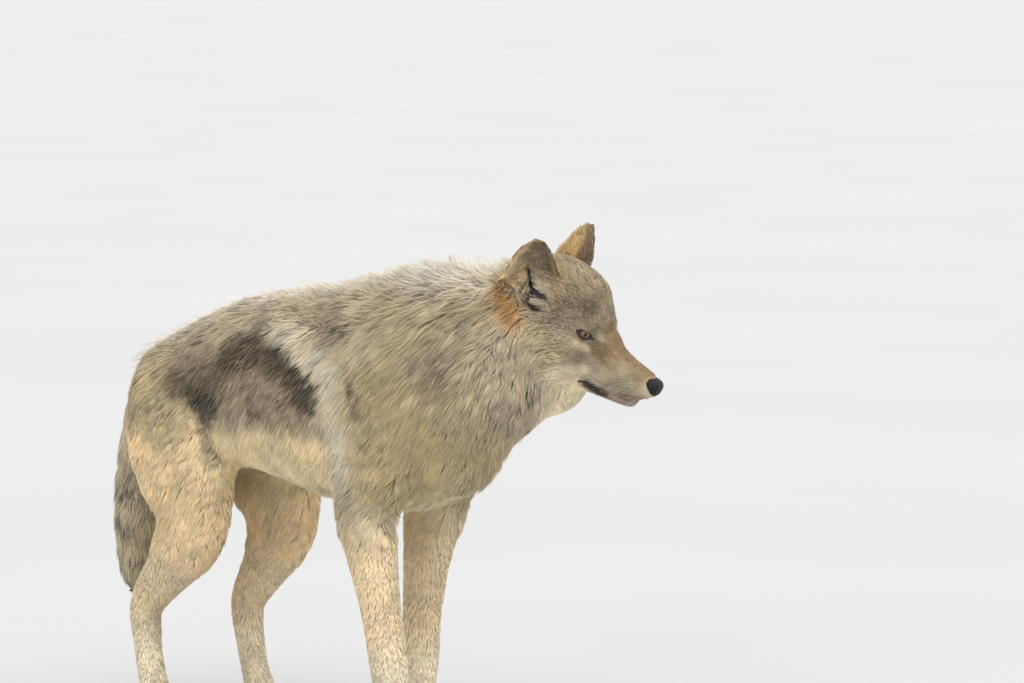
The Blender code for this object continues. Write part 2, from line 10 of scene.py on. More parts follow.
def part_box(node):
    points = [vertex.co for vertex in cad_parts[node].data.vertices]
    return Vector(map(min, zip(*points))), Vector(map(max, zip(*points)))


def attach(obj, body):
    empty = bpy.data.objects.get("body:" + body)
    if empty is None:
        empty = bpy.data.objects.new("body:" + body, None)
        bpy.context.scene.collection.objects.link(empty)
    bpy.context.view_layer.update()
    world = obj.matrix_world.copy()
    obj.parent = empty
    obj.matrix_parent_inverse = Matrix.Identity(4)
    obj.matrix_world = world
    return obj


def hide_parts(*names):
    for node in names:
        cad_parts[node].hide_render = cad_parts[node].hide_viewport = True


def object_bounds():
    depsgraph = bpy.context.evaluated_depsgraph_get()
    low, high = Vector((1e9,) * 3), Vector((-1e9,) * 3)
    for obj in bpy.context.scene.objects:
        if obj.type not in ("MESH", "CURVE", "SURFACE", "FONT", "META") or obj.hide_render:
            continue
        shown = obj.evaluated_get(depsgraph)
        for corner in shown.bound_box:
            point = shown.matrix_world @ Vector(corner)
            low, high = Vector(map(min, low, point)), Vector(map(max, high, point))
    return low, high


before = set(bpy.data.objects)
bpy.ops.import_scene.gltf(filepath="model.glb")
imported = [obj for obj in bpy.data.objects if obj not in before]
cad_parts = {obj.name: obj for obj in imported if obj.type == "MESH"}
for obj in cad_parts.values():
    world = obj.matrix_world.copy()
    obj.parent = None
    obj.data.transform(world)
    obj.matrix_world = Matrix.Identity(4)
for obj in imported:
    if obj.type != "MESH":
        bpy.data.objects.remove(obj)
cad_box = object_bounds()

# ------------------------------------------------------------------ form under the hide
# A mounted wolf is a tanned hide drawn over a carved form. Here the form is every solid of
# flesh closed into one surface, evened out, and taken in by the depth of the coat at each place.

EYES = {"eye_right": -1, "eye_left": 1}
EARS = {"ear_right": -1, "ear_left": 1}
FLESH = [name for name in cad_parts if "claw" not in name and name not in EYES and name != "nose_pad"]
FORM_GRAIN, FORM_ROUNDS = (0.0056), 12
HEAD_GRAIN, HEAD_ROUNDS = (0.0024), 22
WELD = 0.00001


def middle(node):
    low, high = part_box(node)
    return (low + high) / 2


def link_new(name, data):
    piece = bpy.data.objects.new(name, data)
    bpy.context.scene.collection.objects.link(piece)
    return piece


def only(piece):
    bpy.ops.object.select_all(action="DESELECT")
    piece.select_set(True)
    bpy.context.view_layer.objects.active = piece


def finish_with(piece, kind, **settings):
    only(piece)
    modifier = piece.modifiers.new(kind.lower(), kind)
    for name, value in settings.items():
        setattr(modifier, name, value)
    bpy.ops.object.modifier_apply(modifier=modifier.name)


def read(group, what, width, kind=np.float32):
    """One property of all of a mesh's points, edges, faces or corners, in rows."""
    flat = np.empty(len(group) * width, kind)
    group.foreach_get(what, flat)
    return flat.reshape(-1, width)


def places(mesh):
    return read(mesh.vertices, "co", 3).astype(float)


def put(mesh, spots):
    mesh.vertices.foreach_set("co", spots.astype(np.float32).ravel())
    mesh.update()


def corners(mesh):
    mesh.calc_loop_triangles()
    return read(mesh.loop_triangles, "vertices", 3, np.int32)


def links(mesh):
    return read(mesh.edges, "vertices", 2, np.int32)


def outward(mesh):
    return read(mesh.vertex_normals, "vector", 3).astype(float)


def edit(piece, operation, wanted=None, **settings):
    """One edit-mode operation on a whole piece, or on the faces whose middles are wanted."""
    only(piece)
    if wanted:
        mesh = piece.data
        for group in (mesh.vertices, mesh.edges):
            group.foreach_set("select", np.zeros(len(group), bool))
        mesh.polygons.foreach_set("select", wanted(read(mesh.polygons, "center", 3).astype(float)))
    bpy.ops.object.mode_set(mode="EDIT")
    if wanted:
        bpy.ops.mesh.select_mode(type="FACE")
    else:
        bpy.ops.mesh.select_all(action="SELECT")
    operation(**settings)
    bpy.ops.object.mode_set(mode="OBJECT")


def blur(values, edges, rounds, share=0.5):
    """Each point drawn towards the mean of its neighbours, round after round."""
    count = len(values)
    a, b = edges[:, 0], edges[:, 1]
    shares = np.maximum(np.bincount(edges.ravel(), minlength=count), 1)
    columns = values.reshape(count, -1).astype(float)
    for _ in range(rounds):
        mean = np.stack([np.bincount(a, c[b], count) + np.bincount(b, c[a], count) for c in columns.T], 1)
        columns = columns + share * (mean / shares[:, None] - columns)
    return columns.reshape(values.shape)


def even_out(spots, edges, rounds, draw_in=0.55, let_out=-0.57):
    """Smooths facets away and keeps the bulk, a round in and a round out."""
    for _ in range(rounds):
        spots = blur(blur(spots, edges, 1, draw_in), edges, 1, let_out)
    return spots


def unit(vectors):
    return vectors / np.maximum(np.linalg.norm(vectors, axis=-1, keepdims=True), 1e-9)


def ramp(values, start, end):
    t = np.clip((values - start) / (end - start), 0, 1)
    return t * t * (3 - 2 * t)


def hump(values, width):
    return np.exp(-((values / width) ** 2))


# The head's own directions: behind the nose tip, to the wolf's left, and up from the brow.
EYE_BEHIND_PAD, EYE_ABOVE_PAD = 0.1258, 0.0271
PAD_BEHIND, PAD_ABOVE = 0.0125, -0.0065
leftward = (middle("eye_left") - middle("eye_right")).normalized()
sight = (middle("eye_left") + middle("eye_right")) / 2 - middle("nose_pad")
sight -= leftward * sight.dot(leftward)
rearward = Matrix.Rotation(-math.atan2(EYE_ABOVE_PAD, EYE_BEHIND_PAD), 3, leftward) @ sight.normalized()
crownward = leftward.cross(rearward)
head_axes = np.array([rearward, leftward, crownward])
nose_tip = np.array(middle("nose_pad") - rearward * PAD_BEHIND - crownward * PAD_ABOVE)


def in_head(spots):
    return (spots - nose_tip) @ head_axes.T


def from_head(behind, left, up):
    return nose_tip + np.array([behind, left, up]) @ head_axes


def one_sided(h):
    """The wolf's head is alike on both sides, so left and right count the same."""
    return np.stack([h[:, 0], np.abs(h[:, 1]), h[:, 2]], 1)


owner_names = [*FLESH, *EYES, "nose_pad"]
spots, faces, owners, total = [], [], [], 0
for number, name in enumerate(owner_names):
    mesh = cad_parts[name].data
    spots.append(places(mesh))
    faces.append(corners(mesh) + total)
    owners.append(np.full(len(faces[-1]), number))
    total += len(spots[-1])
solid_spots, solid_faces, solid_owners = np.concatenate(spots), np.concatenate(faces), np.concatenate(owners)


def close_up(name, parts, grain, rounds):
    """One closed surface round these solids, with their seams and facets evened out."""
    wanted = np.isin(solid_owners, [owner_names.index(part) for part in parts])
    mesh = bpy.data.meshes.new(name)
    mesh.from_pydata(solid_spots.tolist(), [], solid_faces[wanted].tolist())
    piece = link_new(name, mesh)
    edit(piece, bpy.ops.mesh.remove_doubles, threshold=WELD)
    edit(piece, bpy.ops.mesh.delete_loose)
    finish_with(piece, "REMESH", mode="VOXEL", voxel_size=grain, adaptivity=0.0)
    put(piece.data, even_out(places(piece.data), links(piece.data), rounds))
    return piece


HEAD_PARTS = [name for name in owner_names if name.startswith(("head", "neck", "lower_jaw", "ear", "eye", "nose_pad"))]
NAPE, GULLET = 0.295, -0.155
LAP = 0.012
PAW_TOP = 0.060
ROUND_EYE = 0.026
eye_middles = {name: np.array(middle(name)) for name in EYES}
EYE_RADIUS = float((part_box("eye_right")[1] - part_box("eye_right")[0]).z) / 2


def from_eyes(spots):
    return np.min([np.linalg.norm(spots - m, axis=1) for m in eye_middles.values()], axis=0)


def round_eyes_and_mouth(centres):
    h = in_head(centres)
    jaw = (h[:, 0] < 0.118) & (h[:, 2] < -0.024) & (h[:, 2] > -0.066)
    return jaw | (from_eyes(centres) < ROUND_EYE)


def of_head(centres, lap):
    h = in_head(centres)
    return (h[:, 0] < NAPE + lap) & (h[:, 2] > GULLET - lap)


skin = close_up("skin", [name for name in FLESH if name not in EARS], FORM_GRAIN, FORM_ROUNDS)
edit(skin, bpy.ops.mesh.subdivide, lambda centres: centres[:, 2] < PAW_TOP, number_cuts=1)
head_form = close_up("head_form", HEAD_PARTS, HEAD_GRAIN, HEAD_ROUNDS)
edit(head_form, bpy.ops.mesh.subdivide, round_eyes_and_mouth, number_cuts=1)
solid_tree = BVHTree.FromPolygons(solid_spots.tolist(), solid_faces.tolist())

# The fine head laps over the coarser body behind the ears and under the ruff, and the two are one hide.
edit(skin, bpy.ops.mesh.delete, lambda centres: of_head(centres, -LAP / 2), type="FACE")
edit(head_form, bpy.ops.mesh.delete, lambda centres: ~of_head(centres, LAP / 2), type="FACE")
only(skin)
head_form.select_set(True)
bpy.ops.object.join()
skin_mesh = skin.data
edges = links(skin_mesh)
spots = places(skin_mesh)
owner_of = solid_owners[[solid_tree.find_nearest(spot)[2] for spot in spots.tolist()]]


def is_in(*parts):
    """1 where a point of the skin lies in a node whose name starts with one of these."""
    return np.array([name.startswith(parts) for name in owner_names])[owner_of].astype(float)


# Depth of the coat, length of its locks and their width, in millimetres, on each part of the body.
COAT = {
    "trunk": (17, 46, 2.3), "neck": (21, 54, 2.3), "tail": (16, 50, 2.3),
    "thigh": (9, 28, 2.1), "shank": (5, 18, 2.0), "hind_pastern": (3, 12, 2.0), "hindpaw": (2.2, 8, 1.7),
    "forearm": (4, 15, 1.9), "fore_pastern": (3, 12, 2.0), "forepaw": (2.2, 8, 1.7),
    "ear": (1.9, 10, 1.2), "lower_jaw": (2.2, 8, 1.2),
}
RUFF = (13, 32, 2.0)
# The head from the nose backwards: how far behind the tip, then depth, length and width.
HEAD_COAT = np.array((
    (0.00, 0.8, 3.2, 0.8), (0.05, 1.0, 4.6, 0.9), (0.10, 1.5, 6.0, 1.0), (0.15, 2.2, 7.5, 1.2),
    (0.19, 3.2, 10, 1.4), (0.23, 5.5, 16, 1.8), (0.27, 11, 30, 2.2), (0.33, 19, 48, 2.3),
))
h = in_head(spots)
coat = np.stack([np.interp(h[:, 0], HEAD_COAT[:, 0], HEAD_COAT[:, k]) for k in (1, 2, 3)], 1)
cheek = ramp(np.abs(h[:, 1]), 0.045, 0.085) * ramp(h[:, 0], 0.125, 0.19) * ramp(h[:, 2], 0.035, -0.03)
throat = ramp(h[:, 2], -0.055, -0.105) * ramp(h[:, 0], 0.09, 0.15)
ruff = np.clip(cheek + throat, 0, 1)[:, None]
coat = coat + ruff * (np.maximum(coat, RUFF) - coat)
for part, sizes in COAT.items():
    here = is_in(part)[:, None]
    coat = coat * (1 - here) + here * np.array(sizes)
rough, wide = blur(coat, edges, 10), blur(coat, edges, 60)
coat = (rough + ramp(wide[:, :1], 2.5, 9) * (wide - rough)) / 1000

UNDER = 0.94
PAD_INSET, MANE_INSET = 0.0026, 0.007
sole = ramp(spots[:, 2], 0.012, 0.002) * is_in("forepaw", "hindpaw")
taken = coat[:, 0] * UNDER * (1 - sole) + PAD_INSET * is_in("nose_pad")
# Over the withers and the mane the dense coat lies lower than the wisps that stand out of it.
taken += MANE_INSET * is_in("trunk", "neck") * ramp(spots[:, 2], 0.755, 0.785) * ramp(spots[:, 1], 0.0, -0.08)
# Between the crown and the stop the brow is nearly straight.
brow = 0.0062 * hump(h[:, 0] - 0.137, 0.016) + 0.0068 * hump(h[:, 0] - 0.117, 0.012)
taken += brow * ramp(h[:, 2], 0.020, 0.036) * ramp(from_eyes(spots), 0.014, 0.026) * is_in("head", "eye", "nose_pad")
spots = spots - outward(skin_mesh) * taken[:, None]
# The near ear is a little lower and narrower than its solid, for the hair on its edges.
for name, drop, narrow in (("ear_right", 0.006, 0.009), ("ear_left", 0.001, 0.002)):
    here = blur(is_in(name), edges, 12)[:, None]
    front = ramp(h[:, 0], 0.250, 0.215) * ramp(h[:, 2], 0.050, 0.085)
    spots -= here * (ramp(h[:, 2], 0.070, 0.125) * drop)[:, None] * head_axes[2]
    spots += here * (front * narrow)[:, None] * head_axes[0]
spots = spots + ramp(coat[:, 0], 0.004, 0.012)[:, None] * (blur(spots, edges, 6) - spots)
put(skin_mesh, spots)

# Grooves part the four toes of each foot, from between the claws back over the knuckles.
TOE_GROOVE, GROOVE_WIDE = 0.0042, 0.0034
groove = np.zeros(len(spots))
for foot in ("fore", "hind"):
    for side in ("right", "left"):
        hub = np.array(middle(f"{foot}paw_{side}"))
        claws = np.array([middle(f"{foot}claw_{side}_{k}") for k in (1, 2, 3, 4)])
        ahead = unit((claws.mean(0) - hub) * [1, 1, 0])
        aside = np.array([-ahead[1], ahead[0], 0])
        at, across = (spots - hub) @ ahead, (spots - hub) @ aside
        toes = np.sort((claws - hub) @ aside)
        for s in (toes[:-1] + toes[1:]) / 2:
            line = s * (0.55 + 0.45 * np.clip(at / 0.05, 0, 1))
            here = hump(across - line, GROOVE_WIDE) * ramp(at, -0.012, 0.020)
            groove = np.maximum(groove, here * is_in(f"{foot}paw_{side}"))
spots = spots - outward(skin_mesh) * (TOE_GROOVE * groove * ramp(spots[:, 2], 0.001, 0.010))[:, None]
put(skin_mesh, spots)

# ------------------------------------------------------------------ lids, lips and bare skin
# Round the eyes the hide is tucked over the glass eye as two lids, and along the mouth it is
# tucked into a slit. This bare skin is dark and slightly wet looking.

LID_OPEN = 0.0112
LID_RISE, LID_DROP = 0.0050, 0.0044
LID_THICK = 0.0011
LINER_LONG, LINER_RISE, LINER_DROP = 0.0145, 0.0055, 0.0066


def eye_axes(side):
    """Along the slit to its rear corner, up across it, and out of the head."""
    along = unit(np.array([0.89, 0.42 * side, -0.02]) @ head_axes)
    out = unit(np.array([-0.42, 0.90 * side, 0.06]) @ head_axes)
    out = unit(out - along * (out @ along))
    up = np.cross(out, along) if side > 0 else np.cross(along, out)
    return np.stack([along, up if up @ head_axes[2] > 0 else -up, out])


def slit(a):
    """How far the lids stand above and below the middle line at a place along the slit."""
    x = np.clip(a / LID_OPEN, -1, 1)
    above = LID_RISE * np.sqrt(np.clip(1 - x**2, 0, 1)) ** 1.3 * (1 - 0.12 * x)
    below = LID_DROP * np.clip(1 - x**2, 0, 1) ** 0.8 * (1 - 0.25 * x)
    return above, below


def to_stroke(points, line):
    """Distance from each point, in metres, to a bent line, in millimetres."""
    line = np.array(line, float) / 1000
    best = np.full(len(points), 9.0)
    for a, b in zip(line[:-1], line[1:]):
        d = b - a
        t = np.clip((points - a) @ d / (d @ d), 0, 1)
        best = np.minimum(best, np.linalg.norm(points - a - t[:, None] * d, axis=1))
    return best


liner = np.zeros(len(spots))
for name, side in EYES.items():
    axes = eye_axes(side)
    v = (spots - eye_middles[name]) @ axes.T
    close = np.flatnonzero(np.linalg.norm(v, axis=1) < 0.024)
    w = v[close]
    r = np.linalg.norm(w, axis=1)
    above, below = slit(w[:, 0])
    height = np.where(w[:, 1] > 0, w[:, 1] / np.maximum(above, 1e-5), -w[:, 1] / np.maximum(below, 1e-5))
    inside = (np.abs(w[:, 0]) < LID_OPEN) & (height < 1) & (w[:, 2] > 0)
    facing = w[:, 2] > 0.001
    lid = np.maximum(r, EYE_RADIUS + LID_THICK + 0.0006 * ramp(r, 0.013, 0.018))
    r_new = np.where(inside, EYE_RADIUS - 0.0025, np.where(facing, lid, r))
    spots[close] = eye_middles[name] + (w / r[:, None] * r_new[:, None]) @ axes
    outside = np.sqrt((w[:, 0] / LINER_LONG) ** 2 + (w[:, 1] / np.where(w[:, 1] > 0, LINER_RISE, LINER_DROP)) ** 2)
    tear = np.linalg.norm((w - [-0.0145, -0.0028, 0.0]) / [0.0060, 0.0022, 0.02], axis=1)
    dark = facing * np.maximum(ramp(outside, 1.12, 0.92), ramp(tear, 1.3, 0.8))
    liner[close] = np.maximum(liner[close], dark)
put(skin_mesh, spots)

# The mouth runs from its corner forward under the upper lip, and round below the nose.
MOUTH = ((113, 37, -55), (98, 34, -47.5), (84, 30, -47.5), (66, 23, -45.5), (45, 18, -39.5), (28, 13, -34.5),
         (16, 6, -31), (14, 0, -30.5))
MOUTH_DEEP = 0.0026
FLAT = [1, 0.35, 1]
h = in_head(spots)
from_mouth = to_stroke(one_sided(h) * FLAT, np.array(MOUTH) * FLAT)
slit_line = hump(np.maximum(from_mouth - 0.0005, 0), 0.0010) * ramp(h[:, 2], -0.070, -0.062)
spots = spots - outward(skin_mesh) * (MOUTH_DEEP * slit_line)[:, None]
put(skin_mesh, spots)
to_corner = ramp(h[:, 0], 0.060, 0.085)
lips = ramp(from_mouth, 0.0022 + 0.0012 * to_corner, 0.0008 + 0.0004 * to_corner)
lips *= (h[:, 2] > -0.070) * ramp(h[:, 0], 0.122, 0.112)
soles = is_in("forepaw", "hindpaw") * ramp(outward(skin_mesh)[:, 2], -0.55, -0.85) * ramp(spots[:, 2], 0.02, 0.01)

# The ear's deep slit and the notch below it.
EAR_SLIT = ((262, 56, 60), (257, 53, 56), (250, 51, 46), (236, 58, 40), (225, 60, 38), (212, 60, 41))
EAR_NOTCH = ((238, 58, 34), (232, 60, 19), (224, 62, 16), (212, 64, 21))
EAR_DEEP = 0.0030
beside = one_sided(in_head(spots))
notch = 0.9 * ramp(to_stroke(beside, EAR_NOTCH), 0.0050, 0.0022)
ear_hole = np.maximum(ramp(to_stroke(beside, EAR_SLIT), 0.0064, 0.0034), notch)
spots = spots - outward(skin_mesh) * (EAR_DEEP * ear_hole)[:, None]
put(skin_mesh, spots)

# The unwrap of the skin's own shape, which the coat's colours are laid out on as well.
skin_mesh.uv_layers.new(name="OFBake")
edit(skin, bpy.ops.uv.smart_project, angle_limit=1.15, island_margin=0.004, scale_to_bounds=True)

# ------------------------------------------------------------------ markings
# A grey wolf in winter coat: a pale face and ruff, orange behind the ears, a grizzled cape,
# a dark saddle edge on the flank with a pale band before it, and tan legs. They are laid as
# soft strokes, each with its colour, strength, breadth, softness, share of dark tips and line.


def shade(red, green, blue):
    c = np.array([red, green, blue]) / 255
    return np.where(c <= 0.04045, c / 12.92, ((c + 0.055) / 1.055) ** 2.4)


HAIR = {
    "white": (240, 229, 204), "pale": (224, 219, 207), "cream": (234, 226, 206), "throat": (246, 232, 200),
    "band": (226, 216, 192), "straw": (246, 226, 182), "tan": (243, 217, 172), "deep_tan": (196, 175, 130),
    "leg": (236, 215, 178), "foot": (234, 222, 194), "buff": (198, 186, 158), "fawn": (186, 171, 140),
    "ochre": (194, 176, 138), "amber": (221, 193, 142), "orange": (206, 172, 114), "burnt": (200, 152, 90),
    "rust": (150, 122, 88), "umber": (158, 139, 104), "grey": (186, 172, 146), "brown_grey": (162, 146, 120),
    "slate": (124, 108, 84), "dusk": (104, 86, 66), "dark": (84, 70, 55), "black": (40, 33, 27),
    "lip": (170, 152, 138), "lip_edge": (72, 55, 49),
}
BASE = {
    "trunk": ("buff", 0.22), "neck": ("fawn", 0.17), "tail": ("buff", 0.30), "thigh": ("tan", 0),
    "shank": ("leg", 0), "hind_pastern": ("foot", 0), "hindpaw": ("foot", 0), "forearm": ("leg", 0),
    "fore_pastern": ("foot", 0), "forepaw": ("foot", 0), "ear": ("ochre", 0.10), "lower_jaw": ("cream", 0.05),
    "head": ("grey", 0.20), "eye": ("slate", 0), "nose_pad": ("grey", 0),
}
# Points are in millimetres: out from the middle line, along the back, up.
BODY_STROKES = (
    ("pale", 0.6, 37, 40, 0.36, (20, 440, 660), (30, 250, 740), (30, 0, 775), (30, -160, 790), (20, -340, 800)),
    ("pale", 0.88, 30, 30, 0.16, (20, -60, 800), (20, -200, 820), (20, -320, 820)),
    ("brown_grey", 0.8, 55, 40, 0.34, (100, 400, 575), (110, 340, 600), (100, 250, 625)),
    ("brown_grey", 0.55, 26, 30, 0.4, (70, 180, 710), (80, 80, 722), (85, -20, 722), (90, -120, 712)),
    ("brown_grey", 0.95, 46, 24, 0.32, (100, 270, 605), (105, 180, 606), (108, 80, 604), (112, 10, 598),
     (117, -50, 594)),
    ("ochre", 0.85, 38, 30, 0.14, (115, 360, 575), (126, 325, 535), (123, 290, 525)),
    ("dark", 0.95, 22, 16, 0.3, (98, 145, 652), (98, 80, 662), (100, 36, 664), (109, -15, 648), (118, -64, 624),
     (121, -86, 604)),
    ("black", 0.65, 8, 12, 0.3, (98, 26, 676), (108, -20, 662), (118, -66, 636), (122, -99, 612), (121, -102, 588)),
    ("dark", 0.7, 20, 18, 0.3, (106, 285, 600), (103, 235, 592), (100, 190, 605), (97, 165, 625)),
    ("black", 0.85, 17, 14, 0.25, (104, 238, 577), (104, 200, 572), (104, 215, 550)),
    ("straw", 0.95, 42, 20, 0, (80, 210, 478), (90, 100, 492), (100, 0, 497), (105, -60, 499), (105, -100, 499)),
    ("straw", 0.5, 60, 40, 0, (0, 250, 430), (0, 0, 410), (0, -250, 420)),
    # Painted shade: a dark line in the crease of the flank fold in front of the thigh.
    ("brown_grey", 0.9, 9, 10, 0.3, (103, 231, 522), (101, 223, 503), (95, 214, 483), (90, 211, 467)),
    ("band", 0.9, 17, 14, 0.04, (100, 35, 700), (108, -20, 690), (115, -80, 668), (119, -135, 645), (122, -160, 615),
     (122, -168, 578), (119, -164, 510)),
    ("band", 0.65, 26, 22, 0.02, (122, -160, 600), (122, -164, 560), (119, -158, 490)),
    ("deep_tan", 0.75, 60, 40, 0.12, (115, -245, 600), (100, -285, 560), (90, -250, 500)),
    ("brown_grey", 0.8, 10, 14, 0.45, (121, -205, 640), (121, -212, 595)),
    ("brown_grey", 0.45, 18, 20, 0.4, (110, -100, 715), (105, -170, 700)),
    ("brown_grey", 0.8, 26, 22, 0.36, (64, -330, 700), (58, -350, 680), (62, -342, 650)),
    ("deep_tan", 0.5, 60, 50, 0.08, (90, -300, 490), (50, -370, 500)),
    ("dark", 0.9, 10, 14, 0.4, (35, 525, 615), (45, 515, 585)),
    ("slate", 0.6, 10, 14, 0.3, (60, 495, 570), (75, 460, 510)),
    ("dark", 0.7, 16, 20, 0.5, (0, 575, 600), (0, 600, 540)),
    ("slate", 0.4, 20, 30, 0.4, (0, 600, 540), (0, 615, 420), (0, 620, 300)),
    ("black", 0.9, 22, 20, 0.8, (0, 595, 240), (0, 580, 190)),
    ("dark", 0.35, 6, 8, 0.2, (75, -280, 360), (70, -275, 260), (66, -270, 180)),
)
# On the head they are behind the nose tip, out from the middle line, up from the brow.
HEAD_STROKES = (
    ("umber", 0.85, 44, 20, 0.3, (185, 0, 80), (220, 0, 84), (260, 0, 84)),
    ("brown_grey", 0.85, 36, 20, 0.34, (180, 0, 80), (150, 0, 74), (112, 0, 50)),
    ("slate", 0.8, 10, 10, 0.3, (145, 32, 60), (160, 42, 60), (178, 50, 56), (196, 60, 34)),
    ("slate", 0.45, 14, 14, 0.3, (140, 45, 42), (165, 56, 36), (182, 66, 20), (200, 74, 12)),
    ("brown_grey", 0.8, 20, 16, 0.26, (130, 45, 30), (155, 55, 24), (180, 68, 14), (205, 78, 4)),
    ("ochre", 0.55, 18, 20, 0.25, (165, 75, -15), (200, 88, -15)),
    ("throat", 0.95, 22, 20, 0, (112, 36, -68), (138, 50, -70)),
    ("throat", 0.9, 34, 30, 0, (110, 0, -85), (150, 0, -110)),
    ("brown_grey", 0.6, 9, 12, 0.25, (120, 46, -14), (145, 64, -8), (165, 76, -4)),
    ("brown_grey", 0.25, 8, 10, 0.2, (100, 37, -18), (125, 52, -26)),
    ("white", 0.8, 8, 9, 0, (112, 41, -36), (124, 50, -38), (138, 62, -46)),
    ("buff", 0.6, 8, 8, 0.1, (160, 62, 4), (146, 56, 0)),
    ("straw", 0.85, 4.4, 5, 0, (137, 50, 4), (128, 46, 2), (120, 43, 2)),
    ("cream", 0.5, 3, 4, 0, (116, 30, 26), (110, 28, 22), (106, 28, 15)),
    ("slate", 0.6, 4, 5, 0.1, (140, 43, 34), (128, 38, 30)),
    ("rust", 0.98, 11, 11, 0, (106, 34, 10), (92, 30, 6), (82, 27, 2)),
    ("rust", 0.88, 19, 12, 0.1, (100, 0, 36), (50, 0, 16), (25, 0, 8)),
    ("ochre", 0.6, 10, 12, 0.1, (75, 28, -6), (55, 24, -2), (30, 18, -6)),
    ("rust", 0.45, 6, 8, 0.1, (42, 22, -4), (30, 18, -4)),
    ("buff", 0.6, 9, 10, 0, (80, 31, -28), (50, 24, -22), (22, 16, -18)),
    ("brown_grey", 0.5, 6, 6, 0.1, (104, 36, -40), (88, 31, -40), (74, 27, -40)),
    ("lip", 0.9, 14, 10, 0.1, (16, 8, -40), (40, 12, -50), (75, 18, -62)),
    ("lip_edge", 0.95, 7.5, 8, 0, (100, 32, -52), (90, 29, -55), (74, 20, -57)),
    ("black", 0.55, 4, 5, 0, (94, 30, -53), (86, 28, -55), (78, 22, -56)),
    ("dark", 0.6, 2, 4, 0, (70, 23, -51), (47, 17, -45), (33, 13, -42)),
    ("amber", 0.92, 18, 14, 0, (292, 80, 50), (300, 40, 26), (288, 50, 12), (268, 64, 0)),
    ("burnt", 0.95, 12, 12, 0, (276, 60, 26), (272, 58, 12), (254, 66, 4), (238, 76, -12)),
    ("rust", 0.55, 9, 10, 0.1, (248, 71, -4), (234, 78, -16)),
    ("rust", 0.7, 7, 8, 0.2, (212, 46, 66), (200, 52, 50)),
)
# The ears: tan orange behind with a dusky front edge; inside grey above, cream hair below, and a slit and notch
# painted black as shade.
EAR_STROKES = (
    ("tan", 0.7, 7, 10, 0.05, (282, 60, 55), (278, 72, 90), (268, 84, 118)),
    ("burnt", 0.55, 12, 12, 0.1, (250, 40, 70), (240, 40, 74)),
    ("dusk", 0.92, 14, 10, 0.1, (215, 40, 70), (222, 50, 92), (226, 62, 112), (240, 78, 132)),
)
INNER_EAR_STROKES = (
    ("slate", 0.6, 10, 12, 0.2, (258, 78, 122), (246, 62, 112), (234, 52, 94)),
    ("tan", 0.85, 8, 8, 0.05, (282, 92, 45), (279, 90, 80), (270, 89, 111)),
    ("grey", 0.85, 8, 8, 0.1, (240, 46, 68), (226, 52, 60)),
    ("rust", 0.9, 9, 8, 0.1, (224, 48, 84), (210, 50, 66)),
    ("tan", 0.7, 10, 9, 0.05, (274, 72, 66), (266, 70, 52)),
    ("burnt", 0.85, 10, 9, 0, (262, 68, 36), (260, 62, 22)),
)
# Painted shade: black in the hollows of the ear's slit and notch.
EAR_HOLE_SHADE = (
    ("black", 0.98, 4.8, 3, 0, *EAR_SLIT),
    ("black", 0.98, 4.2, 3, 0, *EAR_NOTCH),
)


def pigment(colour, tips):
    return np.append(shade(*HAIR[colour]), tips)


def paint(tint, points, strokes, where):
    for colour, strength, breadth, softness, tips, *line in strokes:
        breadth, softness = breadth / 1000, softness / 1000
        amount = strength * where * ramp(to_stroke(points, line), breadth + softness, breadth - softness * 0.4)
        tint += amount[:, None] * (pigment(colour, tips) - tint)


skin_tint = np.zeros((len(spots), 4))
for part, (colour, tips) in BASE.items():
    skin_tint += is_in(part)[:, None] * pigment(colour, tips)
skin_tint = blur(skin_tint, edges, 70)
low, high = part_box("trunk")
body_points = np.stack([np.abs(spots[:, 0] - (low.x + high.x) / 2), spots[:, 1], spots[:, 2]], 1)
head_points = one_sided(in_head(spots))
ears = is_in("ear")
from_head_middle = np.linalg.norm(spots - np.array(middle("head")), axis=1)
paint(skin_tint, body_points, BODY_STROKES, 1 - is_in("head", "lower_jaw", "ear"))
paint(skin_tint, head_points, HEAD_STROKES, (1 - ears) * ramp(from_head_middle, 0.26, 0.22))

# The ears: orange tan behind, grey inside, with a darker rim.
normals = outward(skin_mesh)
inner_ear = np.zeros(len(spots))
for name, side in EARS.items():
    way = unit(np.array([-0.72, 0.68 * side, 0.10]) @ head_axes)
    inner_ear += is_in(name) * ramp(normals @ way, 0.05, 0.45)
back_of_ear = ears * (1 - inner_ear)
skin_tint += (back_of_ear * 0.90)[:, None] * (pigment("orange", 0.12) - skin_tint)
skin_tint += (inner_ear * 0.85)[:, None] * (pigment("brown_grey", 0.14) - skin_tint)
paint(skin_tint, head_points, EAR_STROKES, back_of_ear)
# The slit and notch are painted black as shade in their hollows, inside the ear and then wherever they lie.
paint(skin_tint, head_points, (*INNER_EAR_STROKES, *EAR_HOLE_SHADE), inner_ear)
paint(skin_tint, head_points, EAR_HOLE_SHADE, np.ones(len(spots)))


def lay(mesh, name, values):
    mesh.attributes.new(name, "FLOAT_COLOR", "POINT").data.foreach_set("color", values.astype(np.float32).ravel())


# The ear's slit and notch are bare black skin too, painted shade in their hollows; the eye rims, lips and soles are
# black of their own.
bare = np.clip(np.maximum.reduce([liner, lips * 1.2, soles, ear_hole]), 0, 1)
everywhere = np.ones(len(spots))
lay(skin_mesh, "tint", skin_tint)
# The hide reads as hair near its root, so it takes part of the painted shade at the roots.
lay(skin_mesh, "strand", np.stack([0.22 * everywhere, 0.5 * everywhere, 0.9 * everywhere, bare], 1))


def feed(node, **values):
    """Sets or links a node's inputs, given by name with _ for a space, or by number as in0, in6."""
    for name, value in values.items():
        socket = node.inputs[int(name[2:]) if name[2:].isdigit() else name.replace("_", " ")]
        if isinstance(value, bpy.types.NodeSocket):
            node.id_data.links.new(value, socket)
        else:
            socket.default_value = value


